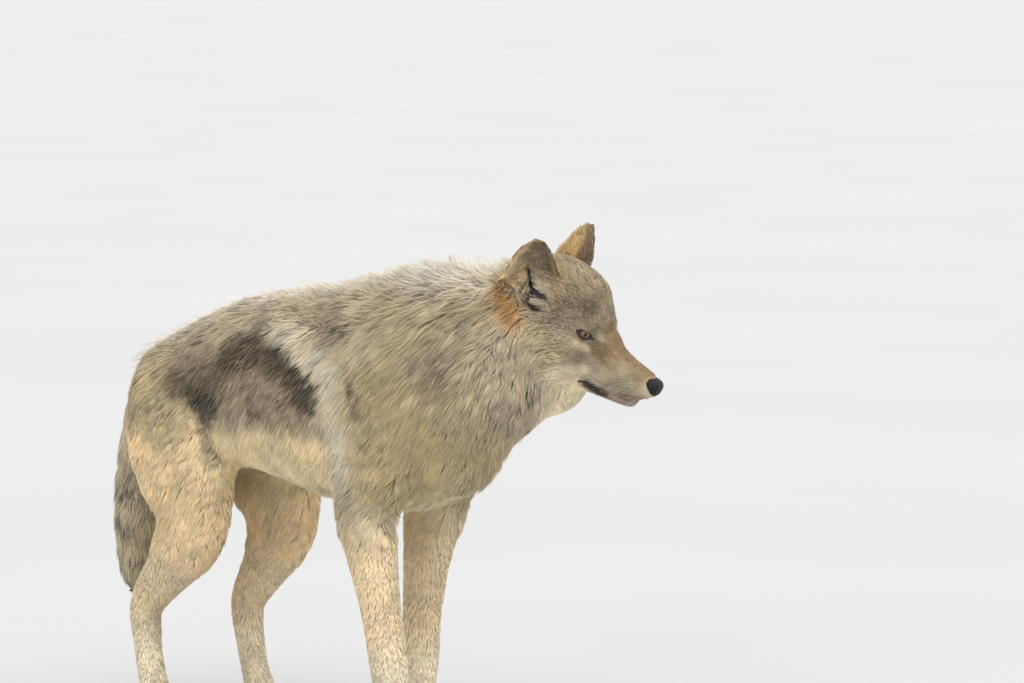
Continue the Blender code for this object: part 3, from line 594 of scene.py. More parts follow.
def beyond(socket, kind, **settings):
    """A new node in the tree that a socket belongs to."""
    node = socket.id_data.nodes.new("ShaderNode" + kind)
    for name, value in settings.items():
        setattr(node, name, value)
    return node


def maths(operation, first, second, clamp=False):
    node = beyond(first, "Math", operation=operation, use_clamp=clamp)
    feed(node, in0=first, in1=second)
    return node.outputs[0]


def product(first, *others):
    for other in others:
        first = maths("MULTIPLY", first, other)
    return first


def blend(amount, first, second, kind="MIX"):
    node = beyond(amount, "Mix", data_type="RGBA", blend_type=kind)
    feed(node, in0=amount, in6=first, in7=second)
    return node.outputs[2]


def noise(where, scale, detail=2.0, roughness=0.5):
    node = beyond(where, "TexNoise")
    feed(node, Vector=where, Scale=scale, Detail=detail, Roughness=roughness)
    return node.outputs["Fac"]


def between(value, low, high, to_low=0.0, to_high=1.0):
    node = beyond(value, "MapRange", interpolation_type="SMOOTHSTEP")
    feed(node, in0=value, in1=low, in2=high, in3=to_low, in4=to_high)
    return node.outputs[0]


def bump(height, strength, distance):
    node = beyond(height, "Bump")
    feed(node, Height=height, Strength=strength, Distance=distance)
    return node.outputs[0]


# One effect colours hide and hair alike: darker at the root as painted shade between the hairs, its own colour along
# the middle, and dark at some tips.
DARK_TIP, PALE_TIP = (*shade(72, 60, 48), 1.0), (*shade(222, 210, 184), 1.0)
WARM = (1.0, 0.90, 0.72, 1.0)
winter_hair = bpy.data.node_groups.new("winter_hair", "ShaderNodeTree")
for way, sockets in (
    ("INPUT", (("Tint", "Color"), ("Tips", "Float"), ("Strand", "Color"), ("Place", "Vector"))),
    ("OUTPUT", (("Color", "Color"), ("Roughness", "Float"), ("Height", "Float"))),
):
    for name, kind in sockets:
        winter_hair.interface.new_socket(name, in_out=way, socket_type="NodeSocket" + kind)
given = winter_hair.nodes.new("NodeGroupInput").outputs
result = winter_hair.nodes.new("NodeGroupOutput")
parts = beyond(given["Strand"], "SeparateColor")
feed(parts, in0=given["Strand"])
along, own, lock = parts.outputs[:3]
patches = between(noise(given["Place"], 11.0, 3.0), 0.35, 0.68)
fine = noise(given["Place"], 420.0)
# Painted shade: each hair darkens towards its root; lock, own and patches vary its tone at random.
light = product(
    between(along, 0.0, 0.40, 0.72, 1.0),
    between(lock, 0.0, 1.0, 0.87, 1.11),
    between(own, 0.0, 1.0, 0.92, 1.08),
    between(patches, 0.0, 1.0, 0.93, 1.07),
)
toned = beyond(light, "VectorMath", operation="SCALE")
feed(toned, in0=given["Tint"], Scale=light)
warmed = blend(product(between(lock, 0.15, 0.9), 0.22), toned.outputs[0], WARM, "MULTIPLY")
# Where a lock's draw falls under its share of dark tips, its tip is dark.
draw = maths("ADD", product(lock, 0.62), product(own, 0.38))
chosen = maths("ADD", product(maths("SUBTRACT", given["Tips"], draw), 7.0), 0.15, clamp=True)
tip = product(between(along, 0.36, 0.80), chosen)
darkened = blend(product(tip, 0.78), warmed, DARK_TIP)
grizzled = product(between(own, 0.74, 0.86), between(along, 0.35, 0.75))
feed(result, Color=blend(product(grizzled, 0.30), darkened, PALE_TIP),
     Roughness=between(fine, 0.2, 0.8, 0.62, 0.86), Height=fine)


def new_material(name):
    """A material, its shader, and the place on the piece."""
    material = bpy.data.materials.new(name)
    material.use_nodes = True
    place = material.node_tree.nodes.new("ShaderNodeTexCoord").outputs["Object"]
    return material, material.node_tree.nodes["Principled BSDF"], place


def reading(place, name):
    return beyond(place, "Attribute", attribute_name=name).outputs


def haired(place):
    """The winter_hair effect in a material, and how bare the hide is."""
    group = beyond(place, "Group", node_tree=winter_hair)
    tint, strand = reading(place, "tint"), reading(place, "strand")
    feed(group, Tint=tint["Color"], Tips=tint["Alpha"], Strand=strand["Color"], Place=place)
    return group.outputs, strand["Alpha"]


hide, shader, place = new_material("hide")
hair, wet = haired(place)
black_skin = blend(between(noise(place, 260.0), 0.35, 0.7), (0.012, 0.009, 0.009, 1), (0.035, 0.026, 0.025, 1))
feed(shader, Base_Color=blend(wet, hair["Color"], black_skin),
     Roughness=maths("SUBTRACT", hair["Roughness"], product(wet, 0.36)), Normal=bump(hair["Height"], 0.5, 0.0012))
skin_mesh.materials.clear()
skin_mesh.materials.append(hide)
only(skin)
bpy.ops.object.shade_smooth()
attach(skin, "root")
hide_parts(*FLESH)

# ------------------------------------------------------------------ eyes
# Glass eyes, set as deep as the real ones: a domed clear front over an amber iris with a
# dark rim and a round pupil. They are pressed in from the front before the lids are tucked over.

PUPIL, RIM, WHITE = (0.22, 0.26), (0.50, 0.64), (0.66, 0.72)
DOME = 0.0007
glass, shader, place = new_material("glass_eye")
ring = reading(place, "ring")["Fac"]
fleck = noise(place, 900.0, 3.0, 0.6)
iris = blend(between(fleck, 0.3, 0.7), (0.17, 0.080, 0.036, 1), (0.34, 0.17, 0.080, 1))
iris = blend(between(ring, *RIM), iris, (0.035, 0.016, 0.008, 1))
eyeball = blend(between(ring, *PUPIL), (0.003, 0.003, 0.003, 1), iris)
eyeball = blend(between(ring, *WHITE), eyeball, (0.045, 0.028, 0.022, 1))
feed(shader, Base_Color=eyeball, Roughness=between(fleck, 0.2, 0.8, 0.03, 0.07), Specular_IOR_Level=0.35,
     Coat_Weight=0.3, Coat_Roughness=0.02)

for name, side in EYES.items():
    bpy.ops.object.select_all(action="DESELECT")
    bpy.ops.mesh.primitive_uv_sphere_add(segments=40, ring_count=28, radius=1.0, location=(0, 0, 0))
    ball = bpy.context.active_object
    ball.name = "glass_" + name
    axes = eye_axes(side)
    gaze = unit(axes[2] * 1.0 - axes[0] * 0.10 + axes[1] * 0.05)
    turn = Vector((0, 0, 1)).rotation_difference(Vector(gaze)).to_matrix()
    v = places(ball.data)
    angle = np.arccos(np.clip(v[:, 2], -1, 1))
    v *= (EYE_RADIUS + DOME * ramp(angle, 0.60, 0.15))[:, None]
    put(ball.data, v @ np.array(turn).T + eye_middles[name])
    ball.data.attributes.new("ring", "FLOAT", "POINT").data.foreach_set("value", angle.astype(np.float32))
    ball.data.materials.append(glass)
    only(ball)
    bpy.ops.object.shade_smooth()
    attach(ball, "root")
    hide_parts(name)

# The lids' bare edge, a dark wet cord of skin round each eye, drawn out to a tear corner in front.
CORD_SIDES, CORD_POINTS = 8, 48
CORD_THICK, TEAR_THICK = 0.0007, 0.0007
lid_skin, shader, place = new_material("lid_edge")
grain = noise(place, 700.0)
feed(shader, Base_Color=blend(between(grain, 0.3, 0.7), (0.006, 0.005, 0.005, 1), (0.028, 0.020, 0.018, 1)),
     Roughness=between(grain, 0.2, 0.8, 0.22, 0.38), Normal=bump(grain, 0.4, 0.0004))


def cord(name, line, thick):
    """A closed cord of skin along a line, one thickness for each point."""
    line, thick = np.array(line), np.array(thick)
    ahead = unit(np.roll(line, -1, 0) - np.roll(line, 1, 0))
    aside = unit(np.cross(ahead, line - line.mean(0) + 1e-6))
    over = np.cross(aside, ahead)
    turns = np.linspace(0, 2 * np.pi, CORD_SIDES, endpoint=False)[None, :, None]
    ring = line[:, None] + thick[:, None, None] * (np.cos(turns) * aside[:, None] + np.sin(turns) * over[:, None])
    quads = []
    for i in range(len(line)):
        a, b = i * CORD_SIDES, (i + 1) % len(line) * CORD_SIDES
        for k in range(CORD_SIDES):
            m = (k + 1) % CORD_SIDES
            quads.append((a + k, a + m, b + m, b + k))
    mesh = bpy.data.meshes.new(name)
    mesh.from_pydata(ring.reshape(-1, 3).tolist(), [], quads)
    piece = link_new(name, mesh)
    edit(piece, bpy.ops.mesh.normals_make_consistent, inside=False)
    bpy.ops.object.shade_smooth()
    return piece


for name, side in EYES.items():
    axes = eye_axes(side)
    line, thick = [], []
    for turn in np.linspace(0, 2 * np.pi, CORD_POINTS, endpoint=False):
        a = -math.cos(turn) * LID_OPEN
        above, below = slit(np.array(a))
        c = float(above) if turn < np.pi else -float(below)
        d = np.array([a, c, math.sqrt(max(EYE_RADIUS**2 - a * a - c * c, 1e-6))])
        line.append(eye_middles[name] + d / np.linalg.norm(d) * (EYE_RADIUS + 0.0003) @ axes)
        thick.append(CORD_THICK + TEAR_THICK * math.exp(-((turn - 4.4) / 1.1) ** 2))
    lids = cord("lids_" + name, line, thick)
    lids.data.materials.append(lid_skin)
    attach(lids, "root")

# ------------------------------------------------------------------ nose
# The bare nose pad, cast and painted: black pebbled leather with two comma-shaped nostrils
# that open to the side, and a groove down the middle to the lip.

NOSE_GRAIN, NOSE_ROUNDS, NOSE_PROUD = 0.0009, 25, 0.0004
NOSTRIL_AT, NOSTRIL_SIZE = np.array([0.0045, 0.0078, -0.0075]), [0.0062, 0.0040, 0.0040]
NOSTRIL_WING = ((4, 8.5, -9), (12, 13.5, -12.5), (19, 16, -12.5))
NOSTRIL_DEEP, WING_DEEP, GROOVE_DEEP = 0.0042, 0.0022, 0.0011
nose_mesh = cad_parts["nose_pad"].data.copy()
nose_mesh.materials.clear()
nose = link_new("nose", nose_mesh)
edit(nose, bpy.ops.mesh.remove_doubles, threshold=WELD)
finish_with(nose, "REMESH", mode="VOXEL", voxel_size=NOSE_GRAIN, adaptivity=0.0)
nose_mesh = nose.data
v = even_out(places(nose_mesh), links(nose_mesh), NOSE_ROUNDS)
v = v + outward(nose_mesh) * NOSE_PROUD
put(nose_mesh, v)
h = in_head(v)
half = one_sided(h)
nostril = np.linalg.norm((half - NOSTRIL_AT) / NOSTRIL_SIZE, axis=1)
wing = to_stroke(half, NOSTRIL_WING)
groove = hump(h[:, 1], 0.0009) * ramp(h[:, 2], -0.002, -0.006) * ramp(h[:, 0], 0.014, 0.008)
dent = NOSTRIL_DEEP * ramp(nostril, 1.05, 0.35) + WING_DEEP * ramp(wing, 0.0021, 0.0004) + GROOVE_DEEP * groove
put(nose_mesh, v - outward(nose_mesh) * dent[:, None])
# Painted shade: the leather is near black in the nostrils and along their wings.
pit_shade = np.clip(ramp(nostril, 0.95, 0.5) + ramp(wing, 0.0017, 0.0006), 0, 1)
nose_mesh.attributes.new("pit_shade", "FLOAT", "POINT").data.foreach_set("value", pit_shade.astype(np.float32))
leather, shader, place = new_material("nose_leather")
cells = beyond(place, "TexVoronoi", feature="DISTANCE_TO_EDGE")
feed(cells, Vector=place, Scale=900.0)
# Painted shade: the leather is darker in the cracks between its pebbles.
pebble = between(cells.outputs["Distance"], 0.0, 0.22)
tone = blend(pebble, (0.004, 0.004, 0.005, 1), (0.013, 0.013, 0.015, 1))
feed(shader, Base_Color=blend(reading(place, "pit_shade")["Fac"], tone, (0.002, 0.002, 0.002, 1)),
     Roughness=between(pebble, 0.0, 1.0, 0.55, 0.36), Normal=bump(pebble, 0.55, 0.0005), Specular_IOR_Level=0.30)
nose_mesh.materials.append(leather)
only(nose)
bpy.ops.object.shade_smooth()
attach(nose, "root")
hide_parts("nose_pad")

# ------------------------------------------------------------------ claws
# Blunt curved claws of dark horn, one from the end of each toe, and a dewclaw on each foreleg.

DEWCLAW_SUNK = 0.0045
horn, shader, place = new_material("claw_horn")
stretch = beyond(place, "Mapping")
feed(stretch, Vector=place, Scale=(1.0, 0.18, 0.6))
layers = noise(stretch.outputs[0], 700.0, 3.0)
feed(shader, Base_Color=blend(between(layers, 0.3, 0.75), (0.020, 0.016, 0.013, 1), (0.085, 0.068, 0.052, 1)),
     Roughness=between(layers, 0.2, 0.8, 0.30, 0.50), Normal=bump(layers, 0.3, 0.0004))
for name in [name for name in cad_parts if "claw" in name]:
    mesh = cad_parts[name].data.copy()
    mesh.materials.clear()
    claw = link_new("horn_" + name, mesh)
    edit(claw, bpy.ops.mesh.remove_doubles, threshold=WELD)
    finish_with(claw, "SUBSURF", levels=2, render_levels=2)
    if name.startswith("dewclaw"):
        # Its root reaches in through the depth of the coat to the hide.
        pastern = middle(name.replace("dewclaw", "fore_pastern"))
        inner = (np.array(pastern) - np.array(middle(name))) * [1, 1, 0]
        put(claw.data, places(claw.data) + unit(inner) * DEWCLAW_SUNK)
    claw.data.materials.append(horn)
    only(claw)
    bpy.ops.object.shade_smooth()
    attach(claw, "root")
    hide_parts(name)

# ------------------------------------------------------------------ coat
# The winter coat: long guard hairs that stand in overlapping locks; where woolly underfur would lie, painted shade
# darkens their roots and the hide between them.
# Each lock is a thin ridged blade rooted in the hide. Locks follow the lie of the coat, back
# along the trunk, down the neck and legs, and from the nose backwards over the head.

SEED = 20
rng = np.random.default_rng(SEED)
edges = links(skin_mesh)
normals = outward(skin_mesh)
spots = places(skin_mesh)

LIE = {
    "trunk": (0, 1, -0.85), "neck": (0, 0.62, -0.85), "tail": (0, 0.12, -1), "thigh": (0, 0.45, -1),
    "shank": (0, 0.35, -1), "hind_pastern": (0, 0.1, -1), "hindpaw": (0, -1, -0.35),
    "forearm": (0, 0.2, -1), "fore_pastern": (0, 0.1, -1), "forepaw": (0, -1, -0.35),
}
lie = np.zeros((len(spots), 3))
for part, way in LIE.items():
    lie += is_in(part)[:, None] * unit(np.array(way, float))
# Low on the flank and shoulder the hair hangs more steeply.
steep = is_in("trunk") * ramp(np.abs(normals[:, 0]), 0.5, 0.95) * ramp(spots[:, 2], 0.74, 0.60)
lie += (steep * 0.5)[:, None] * np.array([0, 0, -1.0])
# On the head it runs from the nose, sags over the cheeks, and hangs in the ruff.
h = in_head(spots)
aside = np.abs(h[:, 1])
face_lie = unit(np.stack([h[:, 0] + 0.02, h[:, 1] * 0.9, h[:, 2] * 0.55 - 0.004], 1))
sag = ramp(h[:, 0], 0.12, 0.24) * ramp(aside, 0.02, 0.07) * ramp(h[:, 2], 0.05, -0.02)
below_jaw = ramp(h[:, 2], -0.05, -0.09)
face_lie[:, 1] += 0.45 * sag * np.sign(h[:, 1])
face_lie[:, 2] -= 1.3 * sag
face_lie[:, 2] -= 0.6 * below_jaw
face_lie = unit(face_lie) @ head_axes
hanging = ramp(h[:, 0], 0.13, 0.21) * ramp(h[:, 2], 0.03, -0.03) * ramp(aside, 0.03, 0.06) + below_jaw
face_lie += 0.85 * np.clip(hanging, 0, 1)[:, None] * (np.array([0.0, 0.30, -1.0]) - face_lie)
lie += is_in("head", "lower_jaw", "eye", "nose_pad")[:, None] * face_lie
for name, side in EARS.items():
    low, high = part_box(name)
    tip = np.array([(low.x + high.x) / 2, (low.y + high.y) / 2, high.z])
    lie += is_in(name)[:, None] * unit(tip - from_head(0.235, 0.062 * side, 0.035))


def flat_on_hide(ways):
    return ways - normals * np.sum(ways * normals, axis=1, keepdims=True)


lie = unit(blur(lie, edges, 14))
for _ in range(6):
    lie = unit(blur(unit(flat_on_hide(lie)), edges, 5))
lie = unit(flat_on_hide(lie))

# Bare places: round the eyes, along the lip, the nose, the soles and the ear's slit and notch.
NOSE_MIDDLE, NOSE_SIZE = [0.0125, 0, -0.0080], [0.0180, 0.0195, 0.0165]
BARE_LONG, BARE_HIGH = 0.0140, 0.0066
clear = 1 - np.clip(bare * 1.6, 0, 1)
for name, side in EYES.items():
    w = (spots - eye_middles[name]) @ eye_axes(side).T
    ring = np.sqrt((w[:, 0] / BARE_LONG) ** 2 + (w[:, 1] / BARE_HIGH) ** 2)
    clear *= np.where(w[:, 2] > -0.002, ramp(ring, 0.95, 1.25), 1.0)
clear *= ramp(np.linalg.norm((h - NOSE_MIDDLE) / NOSE_SIZE, axis=1), 1.0, 1.18)
clear *= 1 - ramp(slit_line, 0.35, 0.8)

triangles = corners(skin_mesh)
triangle_loops = read(skin_mesh.loop_triangles, "loops", 3, np.int32)
triangle_unwrap = read(skin_mesh.uv_layers["OFBake"].data, "uv", 2)[triangle_loops]
a, b, c = (spots[triangles[:, k]] for k in range(3))
areas = np.linalg.norm(np.cross(b - a, c - a), axis=1) / 2
triangle_normals = unit(normals[triangles].mean(1))
triangle_lie = unit(lie[triangles].mean(1))
triangle_coat = coat[triangles].mean(1)
triangle_tint = skin_tint[triangles].mean(1)
skin_tree = BVHTree.FromPolygons(spots.tolist(), triangles.tolist())


def settle(points):
    """The nearest place on the hide to each point, and the triangle it lies on."""
    found = [skin_tree.find_nearest(point) for point in points.tolist()]
    return np.array([f[0] for f in found]), np.array([f[2] for f in found])


def turned(vectors, around, angle):
    c, s = np.cos(angle)[:, None], np.sin(angle)[:, None]
    return vectors * c + np.cross(around, vectors) * s


def nearest_of(some, places, points):
    """For each point, which of some of the places is nearest to it."""
    tree = KDTree(len(some))
    for order, place in enumerate(places[some]):
        tree.insert(place, order)
    tree.balance()
    return some[np.array([tree.find(point)[1] for point in points.tolist()])]


# No hair stands further out than this.
REACH_LOW = np.array(cad_box[0]) - [0.010, 0.010, -0.0004]
REACH_HIGH = np.array(cad_box[1]) + [0.010, 0.010, 0.004]
# Streaks run on further down and back than they are broad.
STRETCH = np.array([1.0, 0.6, 0.6])
LEADER_WANDER, STREAK_WANDER, LONG_HAIR = 0.002, 0.004, 0.045
ROOT_SUNK, HIDE_CLEAR = 0.0008, 0.0006


def grow(density, count, rows, clump, pull, lift=1.0, spread=0.16, long=1.0, wide=1.0, blotch=0.012, stray=0.0):
    """Roots so many locks over the hide and walks each along the lie of the coat."""
    edge = np.cumsum(areas * density[triangles].mean(1))
    drawn = np.searchsorted(edge, (np.arange(count) + rng.random(count)) / count * edge[-1])
    chosen = np.clip(drawn, 0, len(areas) - 1)
    r1, r2 = np.sqrt(rng.random(count)), rng.random(count)
    part = np.stack([1 - r1, r1 * (1 - r2), r1 * r2], 1)

    def at_root(corner_values):
        return np.einsum("ij,ijk->ik", part, corner_values)

    root = at_root(spots[triangles[chosen]])
    normal = unit(at_root(normals[triangles[chosen]]))
    sizes = at_root(coat[triangles[chosen]])
    unwrap = at_root(triangle_unwrap[chosen])
    own = rng.random(count)
    # Locks gather towards the nearest of a few leading ones.
    leaders = rng.random(count) < clump
    leaders[0] = True
    wander = rng.normal(0, LEADER_WANDER, root.shape) * sizes[:, 1:2] / LONG_HAIR
    lead = nearest_of(np.flatnonzero(leaders), root, root + wander)
    # Light and dark hairs gather in larger streaks than the locks themselves.
    streaks = np.flatnonzero(rng.random(count) < blotch)
    wander = rng.normal(0, STREAK_WANDER, root.shape) * sizes[:, 1:2] / LONG_HAIR
    streak = nearest_of(streaks, root * STRETCH, (root[lead] + wander) * STRETCH)
    lock = np.clip(0.62 * rng.random(count)[streak] + 0.38 * rng.random(count)[lead], 0, 1)
    lock = np.clip((lock - 0.5) * 1.25 + 0.5, 0, 1)
    length = sizes[:, 1] * long * (0.78 + 0.44 * rng.random(count)) * (0.88 + 0.24 * lock)
    depth = sizes[:, 0] * lift * (0.74 + 0.26 * rng.random(count)) * (0.90 + 0.16 * rng.random(count)[lead])
    depth *= 1 + 0.30 * (rng.random(count) < stray)
    breadth = sizes[:, 2] * wide * (0.75 + 0.5 * rng.random(count))
    sway = rng.normal(0, spread, count) + rng.normal(0, spread * 0.7, count)[lead]
    line, ups = [root - normal * ROOT_SUNK], [normal]
    under, where, heading = root, chosen, None
    for step in range(1, rows + 1):
        here = turned(triangle_lie[where], triangle_normals[where], sway)
        heading = here if heading is None else unit(heading * 0.4 + here * 0.6)
        under, where = settle(under + heading * (length / rows)[:, None])
        local = np.minimum(depth * 1.2, triangle_coat[where][:, 0] * lift * 1.02 + HIDE_CLEAR)
        rise = HIDE_CLEAR + (step / rows) ** 0.72 * (0.5 * depth + 0.5 * local)
        line.append(under + triangle_normals[where] * rise[:, None])
        ups.append(triangle_normals[where])
        if step == rows - 1:
            tint = triangle_tint[where]
    line = np.stack(line, 1)
    # Tips drawn together into a lock where both lie on the same side of the body.
    to_lead = root - root[lead]
    same = (np.sum(normal * normal[lead], axis=1) > 0.5) & (np.linalg.norm(to_lead, axis=1) < 0.8 * sizes[:, 1])
    for step in range(1, rows + 1):
        amount = (pull * same)[:, None] * (step / rows) ** 1.5
        line[:, step] += amount * (line[lead, step] + to_lead * 0.25 - line[:, step])
    line = np.clip(line, REACH_LOW, REACH_HIGH)
    return dict(line=line, ups=np.stack(ups, 1), breadth=breadth, own=own, lock=lock, tint=tint, unwrap=unwrap)


# How wide a blade is along its length, how high its ridge stands, and how far blades lean.
TAPER = {2: (0.75, 1.0), 3: (0.70, 1.0, 0.72)}
RIDGE, TILT = 0.55, 0.24
# The patch of the unwrap that each blade takes, and how near the edge it may lie.
PATCH, PATCH_EDGE = 0.003, 0.002


def weave(name, locks, pieces):
    """Turns lines into ridged blades and deals them out over so many pieces."""
    line, ups = locks["line"], locks["ups"]
    count, rows = line.shape[0], line.shape[1] - 1
    steps = np.diff(line, axis=1)
    ahead = unit(np.concatenate([steps[:, :1], steps], 1)[:, :rows])
    tilt = np.random.default_rng(SEED + count).normal(0, TILT, count)
    verts = []
    for row in range(rows):
        side = turned(unit(np.cross(ups[:, row], ahead[:, row])), ahead[:, row], tilt)
        rise = np.cross(ahead[:, row], side)
        half = (locks["breadth"] * TAPER[rows][row] / 2)[:, None]
        verts += [line[:, row] + side * half, line[:, row] + rise * half * RIDGE, line[:, row] - side * half]
    verts = np.stack([*verts, line[:, rows]], 1)
    alongs = np.append(np.repeat(np.arange(rows) / rows, 3), 1.0)
    crosses = np.append(np.tile([-1, 0, 1], rows), 0)
    per, last = rows * 3 + 1, rows * 3 - 3
    pattern = []
    for a in range(0, last, 3):
        for k in (a, a + 1):
            pattern += [(k, k + 1, k + 4), (k, k + 4, k + 3)]
    pattern = np.array([*pattern, (last, last + 1, per - 1), (last + 1, last + 2, per - 1)])
    for number in range(pieces):
        mine = np.arange(number, count, pieces)
        faces = (pattern[None] + (np.arange(len(mine)) * per)[:, None, None]).reshape(-1, 3)
        mesh = bpy.data.meshes.new(name)
        mesh.vertices.add(len(mine) * per)
        mesh.vertices.foreach_set("co", verts[mine].astype(np.float32).ravel())
        mesh.loops.add(faces.size)
        mesh.loops.foreach_set("vertex_index", faces.astype(np.int32).ravel())
        mesh.polygons.add(len(faces))
        mesh.polygons.foreach_set("loop_start", np.arange(0, faces.size, 3, dtype=np.int32))
        mesh.update(calc_edges=True)
        uv = np.clip(locks["unwrap"][mine], PATCH_EDGE, 1 - PATCH_EDGE)[:, None]
        uv = (uv + np.stack([(alongs - 0.5) * PATCH, crosses * PATCH / 2], 1)).reshape(-1, 2)[faces.ravel()]
        mesh.uv_layers.new(name="OFBake").data.foreach_set("uv", uv.astype(np.float32).ravel())
        lay(mesh, "tint", np.repeat(locks["tint"][mine], per, axis=0))
        strand = np.ones((len(mine), per, 4))
        strand[:, :, 0] = alongs
        strand[:, :, 1] = locks["own"][mine, None]
        strand[:, :, 2] = locks["lock"][mine, None]
        lay(mesh, "strand", strand.reshape(-1, 4))
        mesh.materials.append(fur)
        piece = link_new(f"{name}_{number + 1}" if pieces > 1 else name, mesh)
        mesh.polygons.foreach_set("use_smooth", np.ones(len(faces), bool))
        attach(piece, "root")


fur, shader, place = new_material("fur")
hair, _ = haired(place)
feed(shader, Base_Color=hair["Color"], Roughness=hair["Roughness"], Normal=bump(hair["Height"], 0.35, 0.0006),
     Specular_IOR_Level=0.25, Sheen_Weight=0.15, Sheen_Roughness=0.5)

long_coat = ramp(coat[:, 0], 0.0045, 0.0090) * clear
weave("coat_long", grow(long_coat, 150000, 2, clump=0.045, pull=0.55, stray=0.10), 5)
# Short hair grows closer the shorter it is.
short_coat = ramp(coat[:, 0], 0.0085, 0.0045) * clear / np.maximum(coat[:, 1], 0.0035) ** 0.9
short_locks = grow(short_coat, 74000, 2, clump=0.10, pull=0.35, spread=0.14, blotch=0.02, stray=0.06)
weave("coat_short", short_locks, 3)

# Loose wisps stand up from the mane and along the back, thin and pale with dark points.
mane = is_in("neck") * ramp(spots[:, 2], 0.72, 0.78) + is_in("trunk") * (ramp(spots[:, 1], 0.10, -0.15) + 0.05)
ridge = ramp(normals[:, 2], 0.35, 0.85) * long_coat
wisps = grow(ridge * mane, 6000, 3, clump=0.10, pull=0.75, lift=1.9, long=0.9, wide=0.5, spread=0.30, blotch=0.05)
weave("wisps", wisps, 1)

# Cream hair springs from the front edge of each ear and from below, over the hollow.
lining = inner_ear * ramp(h[:, 2], 0.115, 0.085) * (1 - ear_hole)
lining *= 1 - 0.7 * ramp(to_stroke(beside, EAR_SLIT), 0.012, 0.006)
lining += 0.8 * back_of_ear * ramp(h[:, 0], 0.256, 0.270) * ramp(h[:, 2], 0.055, 0.070)
lining *= ramp(h[:, 2], 0.030, 0.045)
tufts = grow(lining, 3000, 3, clump=0.12, pull=0.6, lift=1.8, long=1.3, wide=0.8, spread=0.22, blotch=0.05)
weave("ear_lining", tufts, 1)

# ------------------------------------------------------------------ whiskers
# Stiff dark hairs in three rows on each side of the upper lip, each set singly into the hide.

WHISKER_THICK, WHISKER_TIP = 0.00035, 0.2
WHISKER_ROWS = ((-0.012, 4), (-0.019, 4), (-0.026, 3))
WHISKER_FRONT, WHISKER_GAP, WHISKER_STAGGER = 0.026, 0.0085, 0.003
bristle, shader, place = new_material("whisker")
streaked = noise(place, 300.0)
feed(shader, Base_Color=blend(between(streaked, 0.3, 0.7), (0.020, 0.015, 0.012, 1), (0.070, 0.055, 0.042, 1)),
     Roughness=between(streaked, 0.2, 0.8, 0.35, 0.5))
stations = np.linspace(0, 1, 5)[:, None]
turns = np.array([0.0, 2.094, 4.189])[None, :, None]
whisker_spots, whisker_faces = [], []
for side in (-1, 1):
    for row, (high, many) in enumerate(WHISKER_ROWS):
        for order in range(many):
            behind = WHISKER_FRONT + WHISKER_GAP * order + WHISKER_STAGGER * row
            out = (0.018 + 0.25 * (behind - WHISKER_FRONT)) * side
            root, where = settle(from_head(behind, out, high)[None])
            way = unit(triangle_normals[where[0]] * 0.75 + head_axes[0] * 0.55 - head_axes[2] * 0.22)
            long = 0.026 + 0.007 * order + 0.004 * rng.random()
            droop = stations**2 * (0.12 * head_axes[0] - 0.28 * head_axes[2])
            line = root + long * (stations * way + droop)
            across = unit(np.cross(way, head_axes[2]))
            over = np.cross(across, way)
            thick = WHISKER_THICK * (1 - (1 - WHISKER_TIP) * stations[:, :, None])
            ring = line[:, None] + thick * (np.cos(turns) * across + np.sin(turns) * over)
            first = 15 * len(whisker_spots)
            whisker_spots.append(ring.reshape(-1, 3))
            for a in range(first, first + 12, 3):
                for k in range(3):
                    m = (k + 1) % 3
                    whisker_faces.append((a + k, a + m, a + m + 3, a + k + 3))
            whisker_faces.append((first + 12, first + 13, first + 14))
mesh = bpy.data.meshes.new("whiskers")
mesh.from_pydata(np.concatenate(whisker_spots).tolist(), [], whisker_faces)
whiskers = link_new("whiskers", mesh)
edit(whiskers, bpy.ops.mesh.normals_make_consistent, inside=False)
bpy.ops.object.shade_smooth()
whiskers.data.materials.append(bristle)
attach(whiskers, "root")

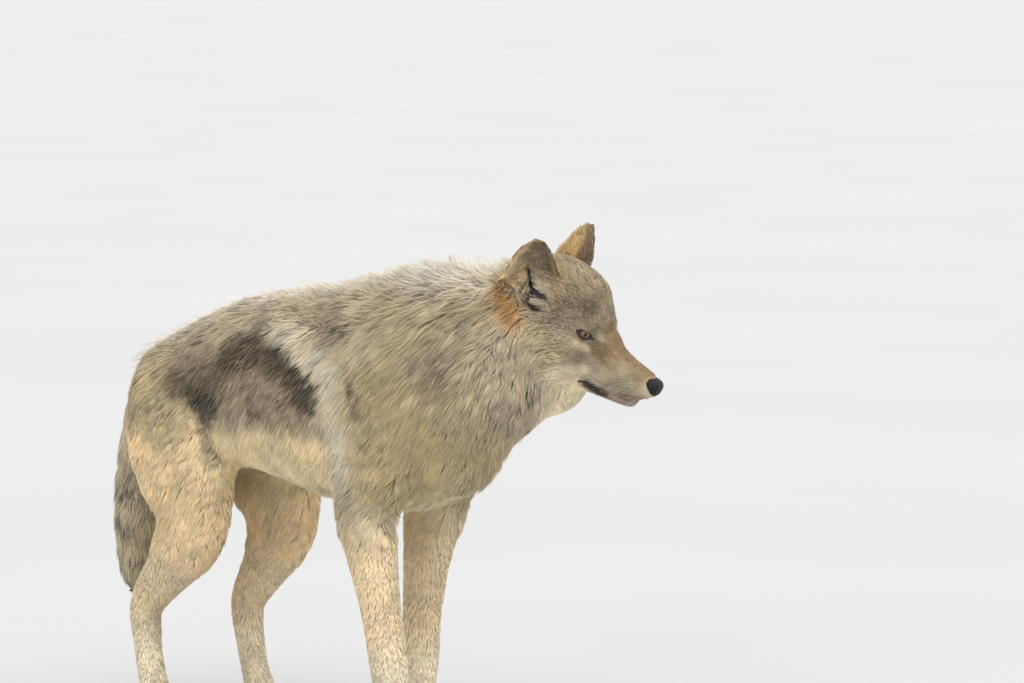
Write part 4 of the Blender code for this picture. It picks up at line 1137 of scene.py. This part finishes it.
# ------------------------------------------------------------------ floor, light and camera
# A plain pale floor, an even soft light as from a studio's ceiling, and the camera, which
# looks a little down at the wolf's right side from in front.

bpy.ops.object.select_all(action="DESELECT")
bpy.ops.mesh.primitive_plane_add(size=800, location=(0, 0, 0))
floor = bpy.context.active_object
floor.name = "floor"
pale, shader, place = new_material("floor_paint")
tone = between(noise(place, 0.6, 2.0), 0.3, 0.7)
feed(shader, Base_Color=blend(tone, (0.555, 0.555, 0.555, 1), (0.575, 0.575, 0.575, 1)), Roughness=0.9)
floor.data.materials.append(pale)

world = bpy.data.worlds.new("studio")
bpy.context.scene.world = world
world.use_nodes = True
feed(world.node_tree.nodes["Background"], Color=(0.985, 0.99, 1.0, 1), Strength=0.90)

LIGHT_SPREAD, LIGHT_HEIGHT, LIGHT_SIDE = math.radians(60), math.radians(62), math.radians(-20)
light = bpy.data.lights.new("ceiling_light", "SUN")
light.energy, light.angle = 2.1, LIGHT_SPREAD
lamp = link_new("ceiling_light", light)
lamp.rotation_euler = (math.pi / 2 - LIGHT_HEIGHT, 0, LIGHT_SIDE)

CAMERA_SIDE, CAMERA_RISE, CAMERA_AWAY = math.radians(320), math.radians(5), 7.0
VIEW_WIDE, NOSE_RIGHT, NOSE_BELOW = 1.57055215, 0.22852761, 0.06671779
camera_data = bpy.data.cameras.new("camera")
camera_data.sensor_width = 36
camera_data.lens = CAMERA_AWAY * camera_data.sensor_width / VIEW_WIDE
camera_data.clip_end = 2000
camera = link_new("camera", camera_data)
level = math.cos(CAMERA_RISE)
toward = Vector((math.sin(CAMERA_SIDE) * level, -math.cos(CAMERA_SIDE) * level, math.sin(CAMERA_RISE)))
facing = toward.to_track_quat("Z", "Y").to_matrix()
low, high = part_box("nose_pad")
aim = Vector(((low.x + high.x) / 2 + 0.002, low.y, (low.z + high.z) / 2 + 0.0035))
place = aim - facing.col[0] * NOSE_RIGHT + facing.col[1] * NOSE_BELOW + toward * CAMERA_AWAY
camera.matrix_world = Matrix.Translation(place) @ facing.to_4x4()
bpy.context.scene.camera = camera
bpy.context.scene.view_settings.view_transform = "Standard"
